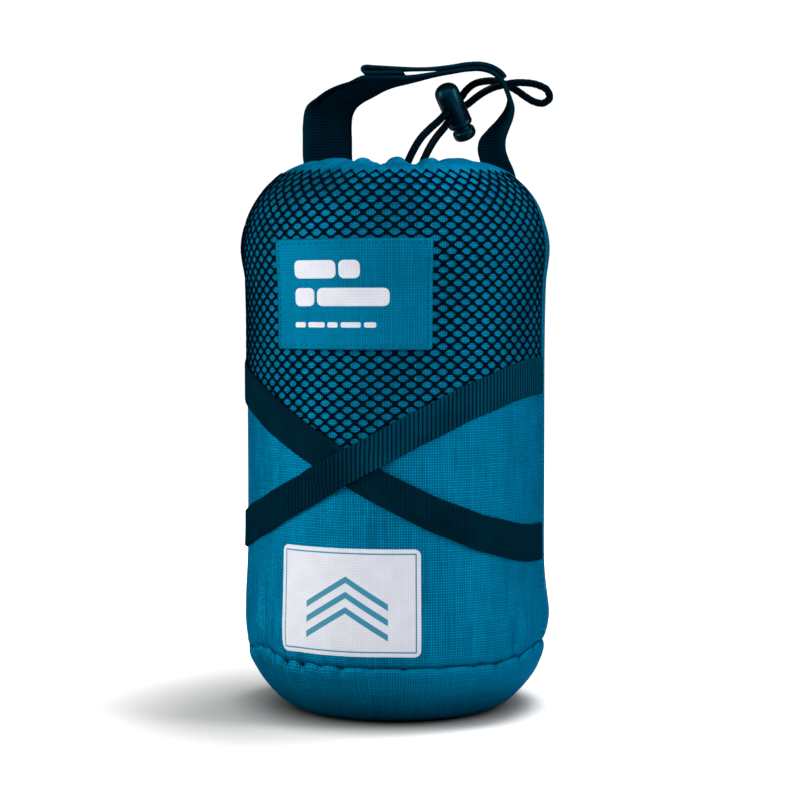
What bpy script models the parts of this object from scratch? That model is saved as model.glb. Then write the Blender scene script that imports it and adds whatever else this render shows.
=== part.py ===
"""Bicycle cover packed in its drawstring sack.

Every piece that is cut, sewn on or fitted is one closed solid. Lengths are given in millimetres
in the tables and turned into metres when a mesh is made. +Z is up, the front of the sack faces
-Y, its two side seams are at -X and +X, and it stands on z = 0 about the Z axis.
"""
import math

import bmesh
import bpy
import numpy as np
from mathutils import Matrix

MM = 0.001
GAP = 0.45                    # clear distance between neighbouring cloth pieces
ROUTE_SAMPLES = 12            # samples between two points of a smoothed route

# The filled sack
SEGMENTS = 48                 # columns of cloth round the sack
CLOTH = 1.5                   # base panel cloth, seam allowance included
FOLDS = 8                     # gathered folds round the mouth
FOLD_TURN = 18.0              # degrees from the front to the first fold's crest
DIP_TURN = 15.0               # degrees from the front to the sunken part of the shoulder
DIP_SPREAD = 26.0

# Base panel, outer face from its flat bottom up to the base seam
BASE = (                      # (radius, height)
    (48.5, 0.0), (54.0, 1.0), (59.0, 3.6), (63.4, 7.6),
    (67.7, 12.8), (71.3, 18.6), (74.0, 25.0), (75.3, 30.0),
)

# Wall panel, from the base seam over the shoulder and down into the mouth.
# fold_out and fold_up are the gathered folds' radial and upright height, dip sinks the front.
WALL = (                      # (radius, height, fold_out, fold_up, dip)
    (73.35, 30.00, 0.0, 0.0, 0.0), (73.50, 30.40, 0.0, 0.0, 0.0),
    (75.00, 30.45, 0.0, 0.0, 0.0), (76.20, 32.00, 0.0, 0.0, 0.0),
    (77.20, 37.00, 0.0, 0.0, 0.0), (77.80, 44.00, 0.0, 0.0, 0.0),
    (77.60, 56.00, 0.0, 0.0, 0.0), (76.90, 78.00, 0.0, 0.0, 0.0),
    (76.70, 110.0, 0.0, 0.0, 0.0), (76.70, 150.0, 0.0, 0.0, 0.0),
    (76.80, 185.0, 0.0, 0.0, 0.0), (77.10, 208.0, 0.0, 0.0, 0.0),
    (77.80, 220.0, 0.0, 0.0, 0.0), (79.00, 229.0, 0.0, 0.0, 0.0),
    (79.50, 235.5, 0.0, 0.0, 0.0), (79.10, 242.0, 0.0, 0.0, 0.0),
    (77.90, 248.0, 0.0, 0.0, 0.0), (76.10, 254.0, 0.0, 0.0, 0.0),
    (73.20, 260.0, 0.0, 0.0, 0.0), (69.20, 265.6, 0.0, 0.0, 0.1),
    (64.60, 270.2, 0.0, 0.0, 0.5), (60.00, 274.0, 0.0, 0.0, 1.3),
    (54.40, 276.9, 0.0, 0.1, 2.6), (49.00, 278.7, 0.0, 0.4, 3.7),
    (43.20, 279.3, 0.0, 0.9, 4.2), (37.00, 278.5, 0.2, 1.4, 3.6),
    (31.40, 277.4, 0.7, 1.7, 2.2), (27.60, 277.8, 1.3, 1.8, 1.2),
    (25.00, 280.0, 1.8, 1.7, 0.4), (22.90, 281.6, 2.0, 1.7, 0.0),
    (20.80, 281.5, 2.0, 1.7, 0.0), (19.40, 279.0, 1.8, 1.4, 0.0),
    (18.00, 273.5, 1.4, 0.8, 0.0), (16.20, 268.2, 0.8, 0.3, 0.0),
    (12.00, 266.0, 0.0, 0.0, 0.0),
)
MOUTH_FLOOR = 265.6

# Netting, label and the two crossing straps
SEAM_ANGLE = 90.0             # side seams, from the front
NET_THICK = 1.0
NET_FIRST_ROW = 11            # wall row from which the netting keeps to the wall's own rows
NET_TOP_ROW = 21              # wall row at which the netting ends
NET_BLENDS = 3                # rows between the straps and that first row
NET_CLEAR = 0.7               # netting's lower edge above the straps
LABEL_THICK = 1.0
LABEL_CLEAR = 0.5             # label's inner face off the netting
LABEL_COLUMNS = 11
LABEL_ROWS = (184.9, 196.5, 208.0, 220.0, 229.0, 235.5, 238.1)
LABEL_HALF_ANGLE = 30.4
STRAP_THICK = 1.6
STRAP_STATIONS = 37
STRAP_ACROSS = 4
STRAP_NARROW = 15.8           # strap width where the two cross
STRAP_WIDEN = 2.9             # further width gained towards the side seams
STRAP_NARROWEST = 8.0         # degrees from the front to the narrowest place
STRAP_WIDEN_RUN = 75.0        # degrees from there to the full width
STRAP_RISE = 7.0              # run over which the upper strap climbs over the lower one
STRAP_RISE_CLEAR = 2.4        # level run beside the lower strap before that climb
STRAP_REACH = 5.0             # degrees over which a centre line's slope is taken

# Centre line of each strap
UPPER_STRAP = (               # (angle from the front in degrees, height)
    (-90.0, 88.0), (-75.0, 89.9), (-59.0, 93.3), (-38.5, 102.7), (-17.9, 115.9), (2.7, 131.2),
    (23.3, 146.4), (43.9, 159.6), (64.5, 168.3), (76.0, 170.6), (90.0, 171.2),
)
LOWER_STRAP = (               # (angle, height)
    (-90.0, 172.5), (-76.0, 171.2), (-62.0, 167.0), (-45.8, 159.9), (-26.9, 147.1), (-8.0, 133.3),
    (10.9, 119.0), (29.8, 106.1), (48.6, 95.9), (67.5, 89.3), (77.0, 87.6), (90.0, 86.9),
)

# Carry handle and its second ply. Their tables use axes turned about Z against the sack:
# along = to the handle's right, behind = towards the sack's back, height.
HANDLE_TURN = 17.0
HANDLE_WIDTH = 27.5
HANDLE_THICK = 2.0
HANDLE_ACROSS = 5
FOOT_HEIGHTS = (244.0, 248.5, 253.0, 257.0, 261.0)
LEFT_FOOT_ANGLE = -134.0
RIGHT_FOOT_ANGLE = 142.5
FOOT_BOW = 1.3                # how far the sewn foot's edges bend round the shoulder
FOOT_CLEAR = 0.3              # further clearance under the bent foot

# face is the turn of the strap's width from "along", tip the rise of its far edge
HANDLE = (                    # (along, behind, height, face, tip)
    (-35.7, 60.4, 269.4, 24, 0),
    (-35.9, 56.6, 277.0, 18, 0), (-37.1, 53.4, 285.8, 11, 0), (-37.2, 52.5, 296.0, 11, 0),
    (-37.2, 51.9, 304.0, 14, -1), (-36.3, 50.3, 310.4, 17, -4), (-33.6, 47.0, 315.1, 25, -8),
    (-28.5, 42.8, 319.0, 36, -12), (-20.6, 38.0, 322.3, 49, -14), (-12.6, 33.6, 324.4, 61, -10),
    (-5.0, 30.8, 325.2, 71, -5), (2.2, 29.7, 325.6, 79, -1), (10.0, 29.5, 326.6, 84, 2),
    (19.0, 30.0, 328.4, 87, 4), (29.1, 31.0, 330.2, 88, 5), (38.5, 32.3, 331.8, 88, 5),
    (45.6, 33.3, 332.0, 88, 5), (50.8, 34.2, 330.6, 88, 5), (54.8, 34.6, 327.9, 88, 5),
    (57.4, 34.9, 324.4, 88, 5), (59.2, 35.1, 320.3, 88, 5), (60.6, 35.3, 316.2, 89, 5),
    (60.6, 35.8, 311.6, 95, 4), (58.2, 36.6, 305.8, 103, 3), (54.4, 37.4, 300.0, 111, 3),
    (51.6, 38.2, 294.9, 117, 3), (51.2, 39.0, 289.9, 119, 3), (52.7, 40.0, 284.3, 120, 2),
    (54.9, 40.9, 278.6, 122, 1), (56.2, 41.0, 273.0, 124, 0),
)
PLY_FIRST = 14                # handle stations that carry the second ply
PLY_LAST = 18
PLY_STEP = 2.4                # distance between the two plies' middles
PLY_UNDER = (                 # (along, behind, height, face, tip)
    (-1.5, 29.6, 328.7, 84, -2), (-7.5, 29.4, 329.0, 82, -3),
)
PLY_FREE = (                  # (along, behind, height, face, tip)
    (-9.6, 29.4, 332.2, 81, -2), (-3.2, 29.6, 332.8, 84, 2), (4.8, 29.8, 333.0, 86, 5),
    (11.7, 30.0, 332.9, 87, 6), (18.6, 30.3, 332.7, 87, 6), (24.4, 30.6, 332.5, 88, 5),
)
PLY_FOLD_CENTRE = (-13.6, 29.3, 330.15, 80, -4)
PLY_FOLD_RADIUS = 1.2
PLY_FOLD_STEPS = 6

# Cord lock, built along its own +Z from the domed end to the push button
LOCK_CENTRE = (31.0, 30.0, 309.8)
LOCK_AXIS = (0.400, 0.381, -0.833)
LOCK_STRAND_AXIS = (0.500, 0.669, 0.551)
LOCK_SIDES = 28
SLOT_HEIGHT = 15.6            # slot's middle above the domed end
SLOT_LENGTH = 9.6
SLOT_WIDTH = 5.0
SLOT_RUN = 16.0
SLOT_ROUND_STEPS = 6
BARREL = (                    # (radius, height)
    (0.0, 20.9), (5.0, 20.9), (5.0, 25.0), (5.9, 25.0), (6.6, 23.9), (6.6, 5.6),
    (6.1, 3.4), (4.8, 1.6), (2.7, 0.4), (0.0, 0.0),
)
BUTTON = (                    # (radius, height)
    (0.0, 33.0), (3.4, 32.8), (5.2, 31.9), (6.1, 30.3), (6.1, 28.3), (5.5, 27.0),
    (4.7, 27.0), (4.7, 22.7), (0.0, 22.7),
)

# Drawcord
CORD_RADIUS = 2.0
CORD_STEP = 4.6               # distance between the cord's points
CORD_ROUND = 2
CORD_ROUTE = (                # (along, behind, height)
    (3.2, -1.5, 266.8), (3.8, -1.2, 272.0), (5.7, 0.0, 279.1), (8.8, 3.0, 286.1),
    (12.6, 7.6, 292.7), (17.9, 14.0, 298.8), (22.9, 20.2, 303.7), (26.4, 24.1, 307.6),
    (30.1, 29.1, 311.7), (33.8, 34.1, 315.8), (37.6, 39.4, 321.4), (42.4, 45.2, 325.6),
    (48.4, 50.6, 327.6), (54.1, 55.0, 328.1), (58.6, 57.4, 327.1), (62.5, 58.2, 325.3),
    (66.4, 58.6, 323.1), (70.8, 58.7, 320.0), (75.4, 58.5, 317.4), (80.2, 58.0, 316.6),
    (83.6, 57.5, 319.2), (82.3, 56.5, 323.3), (77.1, 55.5, 326.1), (69.9, 54.3, 327.2),
    (63.2, 53.3, 326.9), (58.4, 52.7, 325.9), (53.7, 51.6, 324.6), (49.2, 48.7, 322.4),
    (43.4, 43.2, 318.3), (38.3, 38.2, 313.9), (35.6, 35.9, 312.0), (31.9, 30.9, 307.9),
    (28.2, 25.9, 303.8), (25.2, 20.8, 299.6), (21.0, 12.6, 294.0), (17.0, 5.2, 287.2),
    (14.0, 0.6, 280.6), (11.0, -0.8, 273.0), (9.8, -1.0, 266.8),
)

# Materials: name, colour, roughness
FINISHES = (
    ("ripstop_cloth", (0.004, 0.122, 0.246), 0.52),
    ("netting", (0.002, 0.010, 0.022), 0.70),
    ("webbing", (0.003, 0.010, 0.018), 0.62),
    ("cord", (0.003, 0.009, 0.015), 0.66),
    ("lock_plastic", (0.004, 0.011, 0.018), 0.36),
)


def unit(vector):
    """Vector of length one in the same direction."""
    vector = np.asarray(vector, dtype=float)
    return vector / np.linalg.norm(vector)


def turned(vector, degrees=HANDLE_TURN):
    """Vector given in the handle's turned axes, in the sack's axes."""
    cosine = math.cos(math.radians(degrees))
    sine = math.sin(math.radians(degrees))
    x, y, z = vector
    return np.array((cosine * x - sine * y, sine * x + cosine * y, z))


def smooth(value):
    """Soft step from 0 to 1."""
    value = min(max(value, 0.0), 1.0)
    return value * value * (3.0 - 2.0 * value)


def through(route, step):
    """Evenly spaced points on a smooth curve through the route's points."""
    points = np.array(route, dtype=float)
    ends = np.vstack((2 * points[0] - points[1], points, 2 * points[-1] - points[-2]))
    dense = []
    for before, start, finish, after in zip(ends, ends[1:], ends[2:], ends[3:]):
        for t in np.linspace(0.0, 1.0, ROUTE_SAMPLES, endpoint=False):
            dense.append(0.5 * (
                2 * start + (finish - before) * t
                + (2 * before - 5 * start + 4 * finish - after) * t ** 2
                + (3 * start - before - 3 * finish + after) * t ** 3
            ))
    dense.append(points[-1])
    dense = np.array(dense)
    run = np.concatenate(([0.0], np.cumsum(np.linalg.norm(np.diff(dense, axis=0), axis=1))))
    wanted = np.linspace(0.0, run[-1], int(round(run[-1] / step)) + 1)
    return np.column_stack([np.interp(wanted, run, column) for column in dense.T])


def profile_normals(rows):
    """Outward direction of each row of a (radius, height) profile that runs upwards."""
    profile = np.array([row[:2] for row in rows], dtype=float)
    along = np.gradient(profile, axis=0)
    normals = np.column_stack((along[:, 1], -along[:, 0]))
    return normals / np.linalg.norm(normals, axis=1)[:, None]


WALL_TABLE = np.array(WALL)
WALL_NORMALS = profile_normals(WALL)
WALL_RADIUS = 76.7            # wall's radius at half its height
WALL_LOWEST_ROW = 3           # first row above the base seam's turned edge
WALL_SHOULDER_ROW = 24        # highest row outside the gathered mouth


def wall_row_point(row, angle, lift=0.0):
    """Point of one wall row at an angle from the front, raised off the cloth by lift."""
    radius, height, fold_out, fold_up, dip = WALL_TABLE[row]
    normal = WALL_NORMALS[row]
    wave = math.cos(math.radians(FOLDS * (angle - FOLD_TURN)))
    away = (angle - DIP_TURN + 180.0) % 360.0 - 180.0
    sink = math.exp(-(away / DIP_SPREAD) ** 2)
    radius += fold_out * wave + lift * normal[0]
    height += fold_up * wave - dip * sink + lift * normal[1]
    turn = math.radians(angle)
    return np.array((radius * math.sin(turn), -radius * math.cos(turn), height))


def wall_point(angle, height, lift):
    """Point on the wall at an angle from the front and a height, raised off the cloth."""
    first = WALL_LOWEST_ROW
    last = WALL_SHOULDER_ROW
    row = int(np.searchsorted(WALL_TABLE[first:last, 1], height)) + first - 1
    row = min(max(row, first), last - 1)
    low, high = WALL_TABLE[row, 1], WALL_TABLE[row + 1, 1]
    share = (height - low) / (high - low)
    return (1.0 - share) * wall_row_point(row, angle, lift) \
        + share * wall_row_point(row + 1, angle, lift)


def piece(name, vertices, faces, finish, collection):
    """Mesh object of one piece, its faces turned outwards."""
    mesh = bpy.data.meshes.new(name)
    mesh.from_pydata([tuple(v * MM for v in vertex) for vertex in vertices], [], faces)
    shell = bmesh.new()
    shell.from_mesh(mesh)
    bmesh.ops.recalc_face_normals(shell, faces=shell.faces)
    if shell.calc_volume(signed=True) < 0.0:
        bmesh.ops.reverse_faces(shell, faces=shell.faces)
    shell.to_mesh(mesh)
    shell.free()
    mesh.materials.append(finish)
    thing = bpy.data.objects.new(name, mesh)
    collection.objects.link(thing)
    return thing


def ring_faces(rings, count):
    """Quads between closed rings of count points each."""
    faces = []
    for ring in range(rings - 1):
        for column in range(count):
            beside = (column + 1) % count
            faces.append((ring * count + column, ring * count + beside,
                          (ring + 1) * count + beside, (ring + 1) * count + column))
    return faces


def slab_faces(rows, columns):
    """Faces of a thick sheet: a lower grid of rows by columns points, then an upper one."""
    faces = []
    size = rows * columns
    for row in range(rows - 1):
        for column in range(columns - 1):
            a = row * columns + column
            quad = (a, a + 1, a + columns + 1, a + columns)
            faces.append(quad[::-1])
            faces.append(tuple(corner + size for corner in quad))
    edge = list(range(columns))
    edge += [row * columns + columns - 1 for row in range(1, rows)]
    edge += [(rows - 1) * columns + column for column in range(columns - 2, -1, -1)]
    edge += [row * columns for row in range(rows - 2, 0, -1)]
    for here, there in zip(edge, edge[1:] + edge[:1]):
        faces.append((here, there, there + size, here + size))
    return faces


def sack_angles():
    """Angles of the cloth's columns, from the front."""
    return [360.0 * column / SEGMENTS for column in range(SEGMENTS)]


def build_body(finish, collection):
    """Wall panel, gathered hem and filling as one solid."""
    inset = CLOTH + GAP
    vertices = []
    rings = 0
    for (radius, height), normal in list(zip(BASE, profile_normals(BASE)))[:-1]:
        radius -= inset * normal[0]
        height -= inset * normal[1]
        for angle in sack_angles():
            turn = math.radians(angle)
            vertices.append((radius * math.sin(turn), -radius * math.cos(turn), height))
        rings += 1
    for row in range(len(WALL)):
        vertices.extend(wall_row_point(row, angle) for angle in sack_angles())
        rings += 1
    faces = ring_faces(rings, SEGMENTS)
    faces.append(tuple(range(SEGMENTS)))
    top = (rings - 1) * SEGMENTS
    vertices.append((0.0, 0.0, MOUTH_FLOOR))
    for column in range(SEGMENTS):
        faces.append((top + column, top + (column + 1) % SEGMENTS, len(vertices) - 1))
    return piece("sack_body", vertices, faces, finish, collection)


def build_base(finish, collection):
    """Base panel, a shallow bowl of cloth round the filled sack's foot."""
    outer = list(zip(BASE, profile_normals(BASE)))
    profile = [position for position, _ in outer]
    inner = [(position[0] - CLOTH * normal[0], position[1] - CLOTH * normal[1])
             for position, normal in outer]
    inner[-1] = (BASE[-1][0] - CLOTH, BASE[-1][1])
    profile += inner[::-1]
    vertices = []
    for radius, height in profile:
        for angle in sack_angles():
            turn = math.radians(angle)
            vertices.append((radius * math.sin(turn), -radius * math.cos(turn), height))
    faces = ring_faces(len(profile), SEGMENTS)
    faces.append(tuple(range(SEGMENTS)))
    last = (len(profile) - 1) * SEGMENTS
    faces.append(tuple(range(last, last + SEGMENTS)))
    return piece("base_panel", vertices, faces, finish, collection)


def strap_centre(table, angle):
    """Height, slope and width of a strap at an angle from the front."""
    angles = [row[0] for row in table]
    heights = [row[1] for row in table]
    left = max(angle - STRAP_REACH, -SEAM_ANGLE)
    right = min(angle + STRAP_REACH, SEAM_ANGLE)
    low, height, high = np.interp((left, angle, right), angles, heights)
    if abs(angle) <= SEAM_ANGLE - STRAP_REACH:
        height = (low + 2.0 * height + high) / 4.0
    slope = (high - low) / math.radians(right - left) / WALL_RADIUS
    widened = smooth(abs(angle - STRAP_NARROWEST) / STRAP_WIDEN_RUN)
    return height, slope, STRAP_NARROW + STRAP_WIDEN * widened


def strap_top(table, angle):
    """Height of a strap's upper edge at an angle from the front."""
    height, slope, width = strap_centre(table, angle)
    return height + 0.5 * width * math.hypot(1.0, slope)


def build_net(finish, collection):
    """Netting panel, one row for each wall row from the straps to the shoulder."""
    angles = np.linspace(-SEAM_ANGLE, SEAM_ANGLE, SEGMENTS // 2 + 1)
    top_of_blend = WALL_TABLE[NET_FIRST_ROW, 1]
    layers = []
    for lift in (GAP, GAP + NET_THICK):
        for blend in range(NET_BLENDS):
            share = blend / NET_BLENDS
            for angle in angles:
                low = max(strap_top(UPPER_STRAP, angle), strap_top(LOWER_STRAP, angle))
                height = (1.0 - share) * (low + NET_CLEAR) + share * top_of_blend
                layers.append(wall_point(angle, height, lift))
        for row in range(NET_FIRST_ROW, NET_TOP_ROW + 1):
            layers.extend(wall_row_point(row, angle, lift) for angle in angles)
    rows = NET_BLENDS + NET_TOP_ROW + 1 - NET_FIRST_ROW
    return piece("mesh_pocket", layers, slab_faces(rows, len(angles)), finish, collection)


def build_label(finish, collection):
    """Rectangular patch on the netting."""
    angles = np.linspace(-LABEL_HALF_ANGLE, LABEL_HALF_ANGLE, LABEL_COLUMNS)
    start = GAP + NET_THICK + LABEL_CLEAR
    layers = [wall_point(angle, height, lift) for lift in (start, start + LABEL_THICK)
              for height in LABEL_ROWS for angle in angles]
    faces = slab_faces(len(LABEL_ROWS), LABEL_COLUMNS)
    return piece("label_patch", layers, faces, finish, collection)


def build_strap(name, table, other, finish, collection):
    """Strap sewn across the wall from seam to seam, over the other strap if one is given."""
    layers = []
    for thick in (0.0, STRAP_THICK):
        for angle in np.linspace(-SEAM_ANGLE, SEAM_ANGLE, STRAP_STATIONS):
            height, slope, width = strap_centre(table, angle)
            if abs(angle) == SEAM_ANGLE:
                slope = 0.0
            length = math.hypot(1.0, slope)
            for side in np.linspace(-0.5 * width, 0.5 * width, STRAP_ACROSS):
                at = angle - math.degrees(slope * side / length / WALL_RADIUS)
                up = height + side / length
                lift = GAP
                if other:
                    middle, tilt, span = strap_centre(other, at)
                    clear = abs(up - middle) / math.hypot(1.0, tilt) - 0.5 * span
                    clear -= STRAP_RISE_CLEAR
                    lift += (STRAP_THICK + GAP) * (1.0 - smooth(clear / STRAP_RISE))
                layers.append(wall_point(at, up, lift + thick))
    return piece(name, layers, slab_faces(STRAP_STATIONS, STRAP_ACROSS), finish, collection)


def ribbon(name, stations, finish, collection):
    """Flat strap through stations of (centre, width direction, bow of its edges)."""
    centres = np.array([station[0] for station in stations])
    runs = np.gradient(centres, axis=0)
    layers = []
    for side_of_cloth in (-0.5, 0.5):
        for (centre, width_way, bow), run in zip(stations, runs):
            face = unit(np.cross(unit(run), width_way))
            for share in np.linspace(-1.0, 1.0, HANDLE_ACROSS):
                spot = centre + width_way * (0.5 * HANDLE_WIDTH * share)
                spot = spot + face * (side_of_cloth * HANDLE_THICK - bow * share * share)
                layers.append(spot)
    return piece(name, layers, slab_faces(len(stations), HANDLE_ACROSS), finish, collection)


def station_of(row):
    """Ribbon station of a handle table row."""
    along, behind, height, face, tip = row
    face = math.radians(face)
    tip = math.radians(tip)
    way = (math.cos(face) * math.cos(tip), math.sin(face) * math.cos(tip), math.sin(tip))
    return turned((along, behind, height)), turned(way), 0.0


def foot_stations(angle, rising):
    """Stations of a handle foot sewn flat on the shoulder."""
    turn = math.radians(angle)
    width_way = np.array((math.cos(turn), math.sin(turn), 0.0)) * -1.0
    stations = []
    for index, height in enumerate(FOOT_HEIGHTS):
        bow = FOOT_BOW * (1.0 - 0.5 * smooth(index / (len(FOOT_HEIGHTS) - 1)))
        centre = wall_point(angle, height, GAP + 0.5 * HANDLE_THICK + FOOT_CLEAR)
        stations.append((centre, width_way if rising else -width_way, bow))
    return stations if rising else stations[::-1]


def build_handle(finish, collection):
    """Carry handle from its left foot over the mouth to its right foot."""
    stations = foot_stations(LEFT_FOOT_ANGLE, True)
    stations += [station_of(row) for row in HANDLE]
    stations += foot_stations(RIGHT_FOOT_ANGLE, False)
    return ribbon("carry_handle", stations, finish, collection)


def build_ply(finish, collection):
    """Second ply on the handle, its left end folded under."""
    stations = [station_of(row) for row in PLY_UNDER]
    along, behind, height, face, tip = PLY_FOLD_CENTRE
    for step in range(PLY_FOLD_STEPS + 1):
        swing = math.radians(-90.0 - 180.0 * step / PLY_FOLD_STEPS)
        stations.append(station_of((
            along + PLY_FOLD_RADIUS * math.cos(swing), behind,
            height + PLY_FOLD_RADIUS * math.sin(swing), face, tip)))
    stations += [station_of(row) for row in PLY_FREE]
    carried = [station_of(row) for row in HANDLE]
    for index in range(PLY_FIRST, PLY_LAST + 1):
        centre, width_way, bow = carried[index]
        run = carried[index + 1][0] - carried[index - 1][0]
        face_way = unit(np.cross(unit(run), width_way))
        stations.append((centre + face_way * PLY_STEP, width_way, bow))
    return ribbon("handle_ply", stations, finish, collection)


def lock_place():
    """Placement of the lock: its +Z along the barrel, its +X along the strands."""
    z_way = unit(turned(LOCK_AXIS))
    x_way = turned(LOCK_STRAND_AXIS)
    x_way = unit(x_way - z_way * np.dot(x_way, z_way))
    y_way = np.cross(z_way, x_way)
    origin = (turned(LOCK_CENTRE) - z_way * SLOT_HEIGHT) * MM
    place = Matrix.Identity(4)
    for column, way in enumerate((x_way, y_way, z_way)):
        for line in range(3):
            place[line][column] = way[line]
    for line in range(3):
        place[line][3] = origin[line]
    return place


def lathe(name, profile, finish, collection):
    """Round piece: a profile turned about its own Z by a Screw modifier."""
    mesh = bpy.data.meshes.new(name)
    mesh.from_pydata([(radius * MM, 0.0, height * MM) for radius, height in profile],
                     [(point, point + 1) for point in range(len(profile) - 1)], [])
    mesh.materials.append(finish)
    thing = bpy.data.objects.new(name, mesh)
    collection.objects.link(thing)
    turn = thing.modifiers.new("turn", "SCREW")
    turn.steps = LOCK_SIDES
    turn.render_steps = LOCK_SIDES
    turn.use_merge_vertices = True
    turn.merge_threshold = 0.00001
    thing.matrix_world = lock_place()
    return thing


def build_slot_cutter(collection):
    """Cutter for the slot that takes both strands of the cord."""
    half = 0.5 * SLOT_WIDTH
    reach = 0.5 * SLOT_LENGTH - half
    outline = []
    for end in (1, -1):
        for step in range(SLOT_ROUND_STEPS + 1):
            swing = math.pi * step / SLOT_ROUND_STEPS
            outline.append((end * half * math.cos(swing),
                            SLOT_HEIGHT + end * (reach + half * math.sin(swing))))
    vertices = [(side * 0.5 * SLOT_RUN, y, z) for side in (-1, 1) for y, z in outline]
    count = len(outline)
    faces = ring_faces(2, count)
    faces.append(tuple(range(count)))
    faces.append(tuple(range(count, 2 * count)))
    cutter = piece("slot_cutter", vertices, faces, bpy.data.materials["lock_plastic"], collection)
    cutter.matrix_world = lock_place()
    cutter.hide_render = True
    cutter.display_type = "WIRE"
    return cutter


def build_lock(finish, collection, cutters):
    """Cord lock: barrel with its slot, and the push button in the barrel's open end."""
    barrel = lathe("lock_barrel", BARREL, finish, collection)
    cut = barrel.modifiers.new("slot", "BOOLEAN")
    cut.operation = "DIFFERENCE"
    cut.solver = "EXACT"
    cut.object = build_slot_cutter(cutters)
    lathe("lock_button", BUTTON, finish, collection)


def build_cord(finish, collection):
    """Drawcord as a round tube along its route."""
    points = through([turned(point) for point in CORD_ROUTE], CORD_STEP)
    curve = bpy.data.curves.new("drawcord", "CURVE")
    curve.dimensions = "3D"
    curve.bevel_depth = CORD_RADIUS * MM
    curve.bevel_resolution = CORD_ROUND
    curve.use_fill_caps = True
    spline = curve.splines.new("POLY")
    spline.points.add(len(points) - 1)
    for target, point in zip(spline.points, points):
        target.co = (*(point * MM), 1.0)
    curve.materials.append(finish)
    collection.objects.link(bpy.data.objects.new("drawcord", curve))


def build_finishes():
    """One Principled material for each finish."""
    finishes = {}
    for name, colour, roughness in FINISHES:
        finish = bpy.data.materials.new(name)
        finish.use_nodes = True
        shader = finish.node_tree.nodes["Principled BSDF"]
        shader.inputs["Base Color"].default_value = (*colour, 1.0)
        shader.inputs["Roughness"].default_value = roughness
        shader.inputs["Metallic"].default_value = 0.0
        finishes[name] = finish
    return finishes


def main():
    """Build every piece of the packed cover."""
    for thing in list(bpy.data.objects):
        bpy.data.objects.remove(thing, do_unlink=True)
    cover = bpy.data.collections.new("packed_bicycle_cover")
    cutters = bpy.data.collections.new("cutters")
    for collection in (cover, cutters):
        bpy.context.scene.collection.children.link(collection)
    finish = build_finishes()
    build_body(finish["ripstop_cloth"], cover)
    build_base(finish["ripstop_cloth"], cover)
    build_net(finish["netting"], cover)
    build_label(finish["ripstop_cloth"], cover)
    build_strap("cross_strap_lower", LOWER_STRAP, None, finish["webbing"], cover)
    build_strap("cross_strap_upper", UPPER_STRAP, LOWER_STRAP, finish["webbing"], cover)
    build_handle(finish["webbing"], cover)
    build_ply(finish["webbing"], cover)
    build_cord(finish["cord"], cover)
    build_lock(finish["lock_plastic"], cover, cutters)


main()
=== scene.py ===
"""Looks of the bicycle cover packed in its drawstring sack.

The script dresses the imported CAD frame. Lengths are in millimetres until a mesh is made, and
angles in degrees. The filled sack stands on z = 0 about the Z axis, and an angle round it is
counted from its front (-Y) towards +X. The handle, the cord and its lock use axes turned about
Z: along (to the right), behind (away from the camera) and height.
"""

import logging
import math
from dataclasses import dataclass
from enum import Enum

import bpy
import numpy as np
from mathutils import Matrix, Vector
from numpy.typing import NDArray

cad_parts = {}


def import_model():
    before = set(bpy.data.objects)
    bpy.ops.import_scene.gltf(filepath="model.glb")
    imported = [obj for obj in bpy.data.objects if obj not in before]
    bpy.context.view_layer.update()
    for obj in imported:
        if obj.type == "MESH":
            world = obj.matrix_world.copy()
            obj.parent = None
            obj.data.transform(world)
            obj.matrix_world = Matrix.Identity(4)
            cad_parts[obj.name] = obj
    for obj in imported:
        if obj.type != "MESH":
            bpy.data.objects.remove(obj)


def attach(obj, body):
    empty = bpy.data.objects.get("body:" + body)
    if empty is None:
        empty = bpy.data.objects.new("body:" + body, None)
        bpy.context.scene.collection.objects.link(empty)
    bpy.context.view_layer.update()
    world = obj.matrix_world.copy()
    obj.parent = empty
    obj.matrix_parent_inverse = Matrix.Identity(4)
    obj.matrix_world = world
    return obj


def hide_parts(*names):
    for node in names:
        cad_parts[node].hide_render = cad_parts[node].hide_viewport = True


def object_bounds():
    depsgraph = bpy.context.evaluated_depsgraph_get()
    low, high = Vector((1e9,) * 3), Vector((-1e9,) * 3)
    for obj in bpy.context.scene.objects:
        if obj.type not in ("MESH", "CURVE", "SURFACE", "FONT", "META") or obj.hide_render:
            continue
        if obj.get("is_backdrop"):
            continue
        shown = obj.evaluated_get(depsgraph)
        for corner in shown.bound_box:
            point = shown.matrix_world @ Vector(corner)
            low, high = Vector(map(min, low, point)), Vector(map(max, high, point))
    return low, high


LOG = logging.getLogger("packed_cover")

Array = NDArray[np.float64]
Colour = tuple[float, float, float]
Spot = tuple[float, float, float]
Face = tuple[int, ...]
Table = tuple[tuple[float, ...], ...]
Material = bpy.types.Material
Object = bpy.types.Object

MM = 0.001
PLACE = "cloth_place"          # attribute: across and along the flat cut, in mm
PAINTED_RIB_LIGHT = "relief"              # attribute: how far a rib or strand stands proud, 0 to 1; sets its painted highlight
FRONT_TURN = 17.0              # the handle's and the camera's axes against the sack's
SEAM_ANGLE = 90.0              # side seams, from the front
CREASE_ANGLE = math.radians(42.0)      # turn from which an edge of the lock is sharp


class Body(Enum):
    """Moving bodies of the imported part."""

    SACK = "sack"
    BUTTON = "button"


class Slot(Enum):
    """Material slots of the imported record."""

    CLOTH = "ripstop_cloth"
    NET = "netting"
    WEBBING = "webbing"
    CORD = "cord"
    PLASTIC = "lock_plastic"


# ---------------------------------------------------------------- shape helpers


def unit(vectors: Array) -> Array:
    """Vectors, or rows of them, scaled to length one."""
    return vectors / np.linalg.norm(vectors, axis=-1, keepdims=True)


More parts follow.
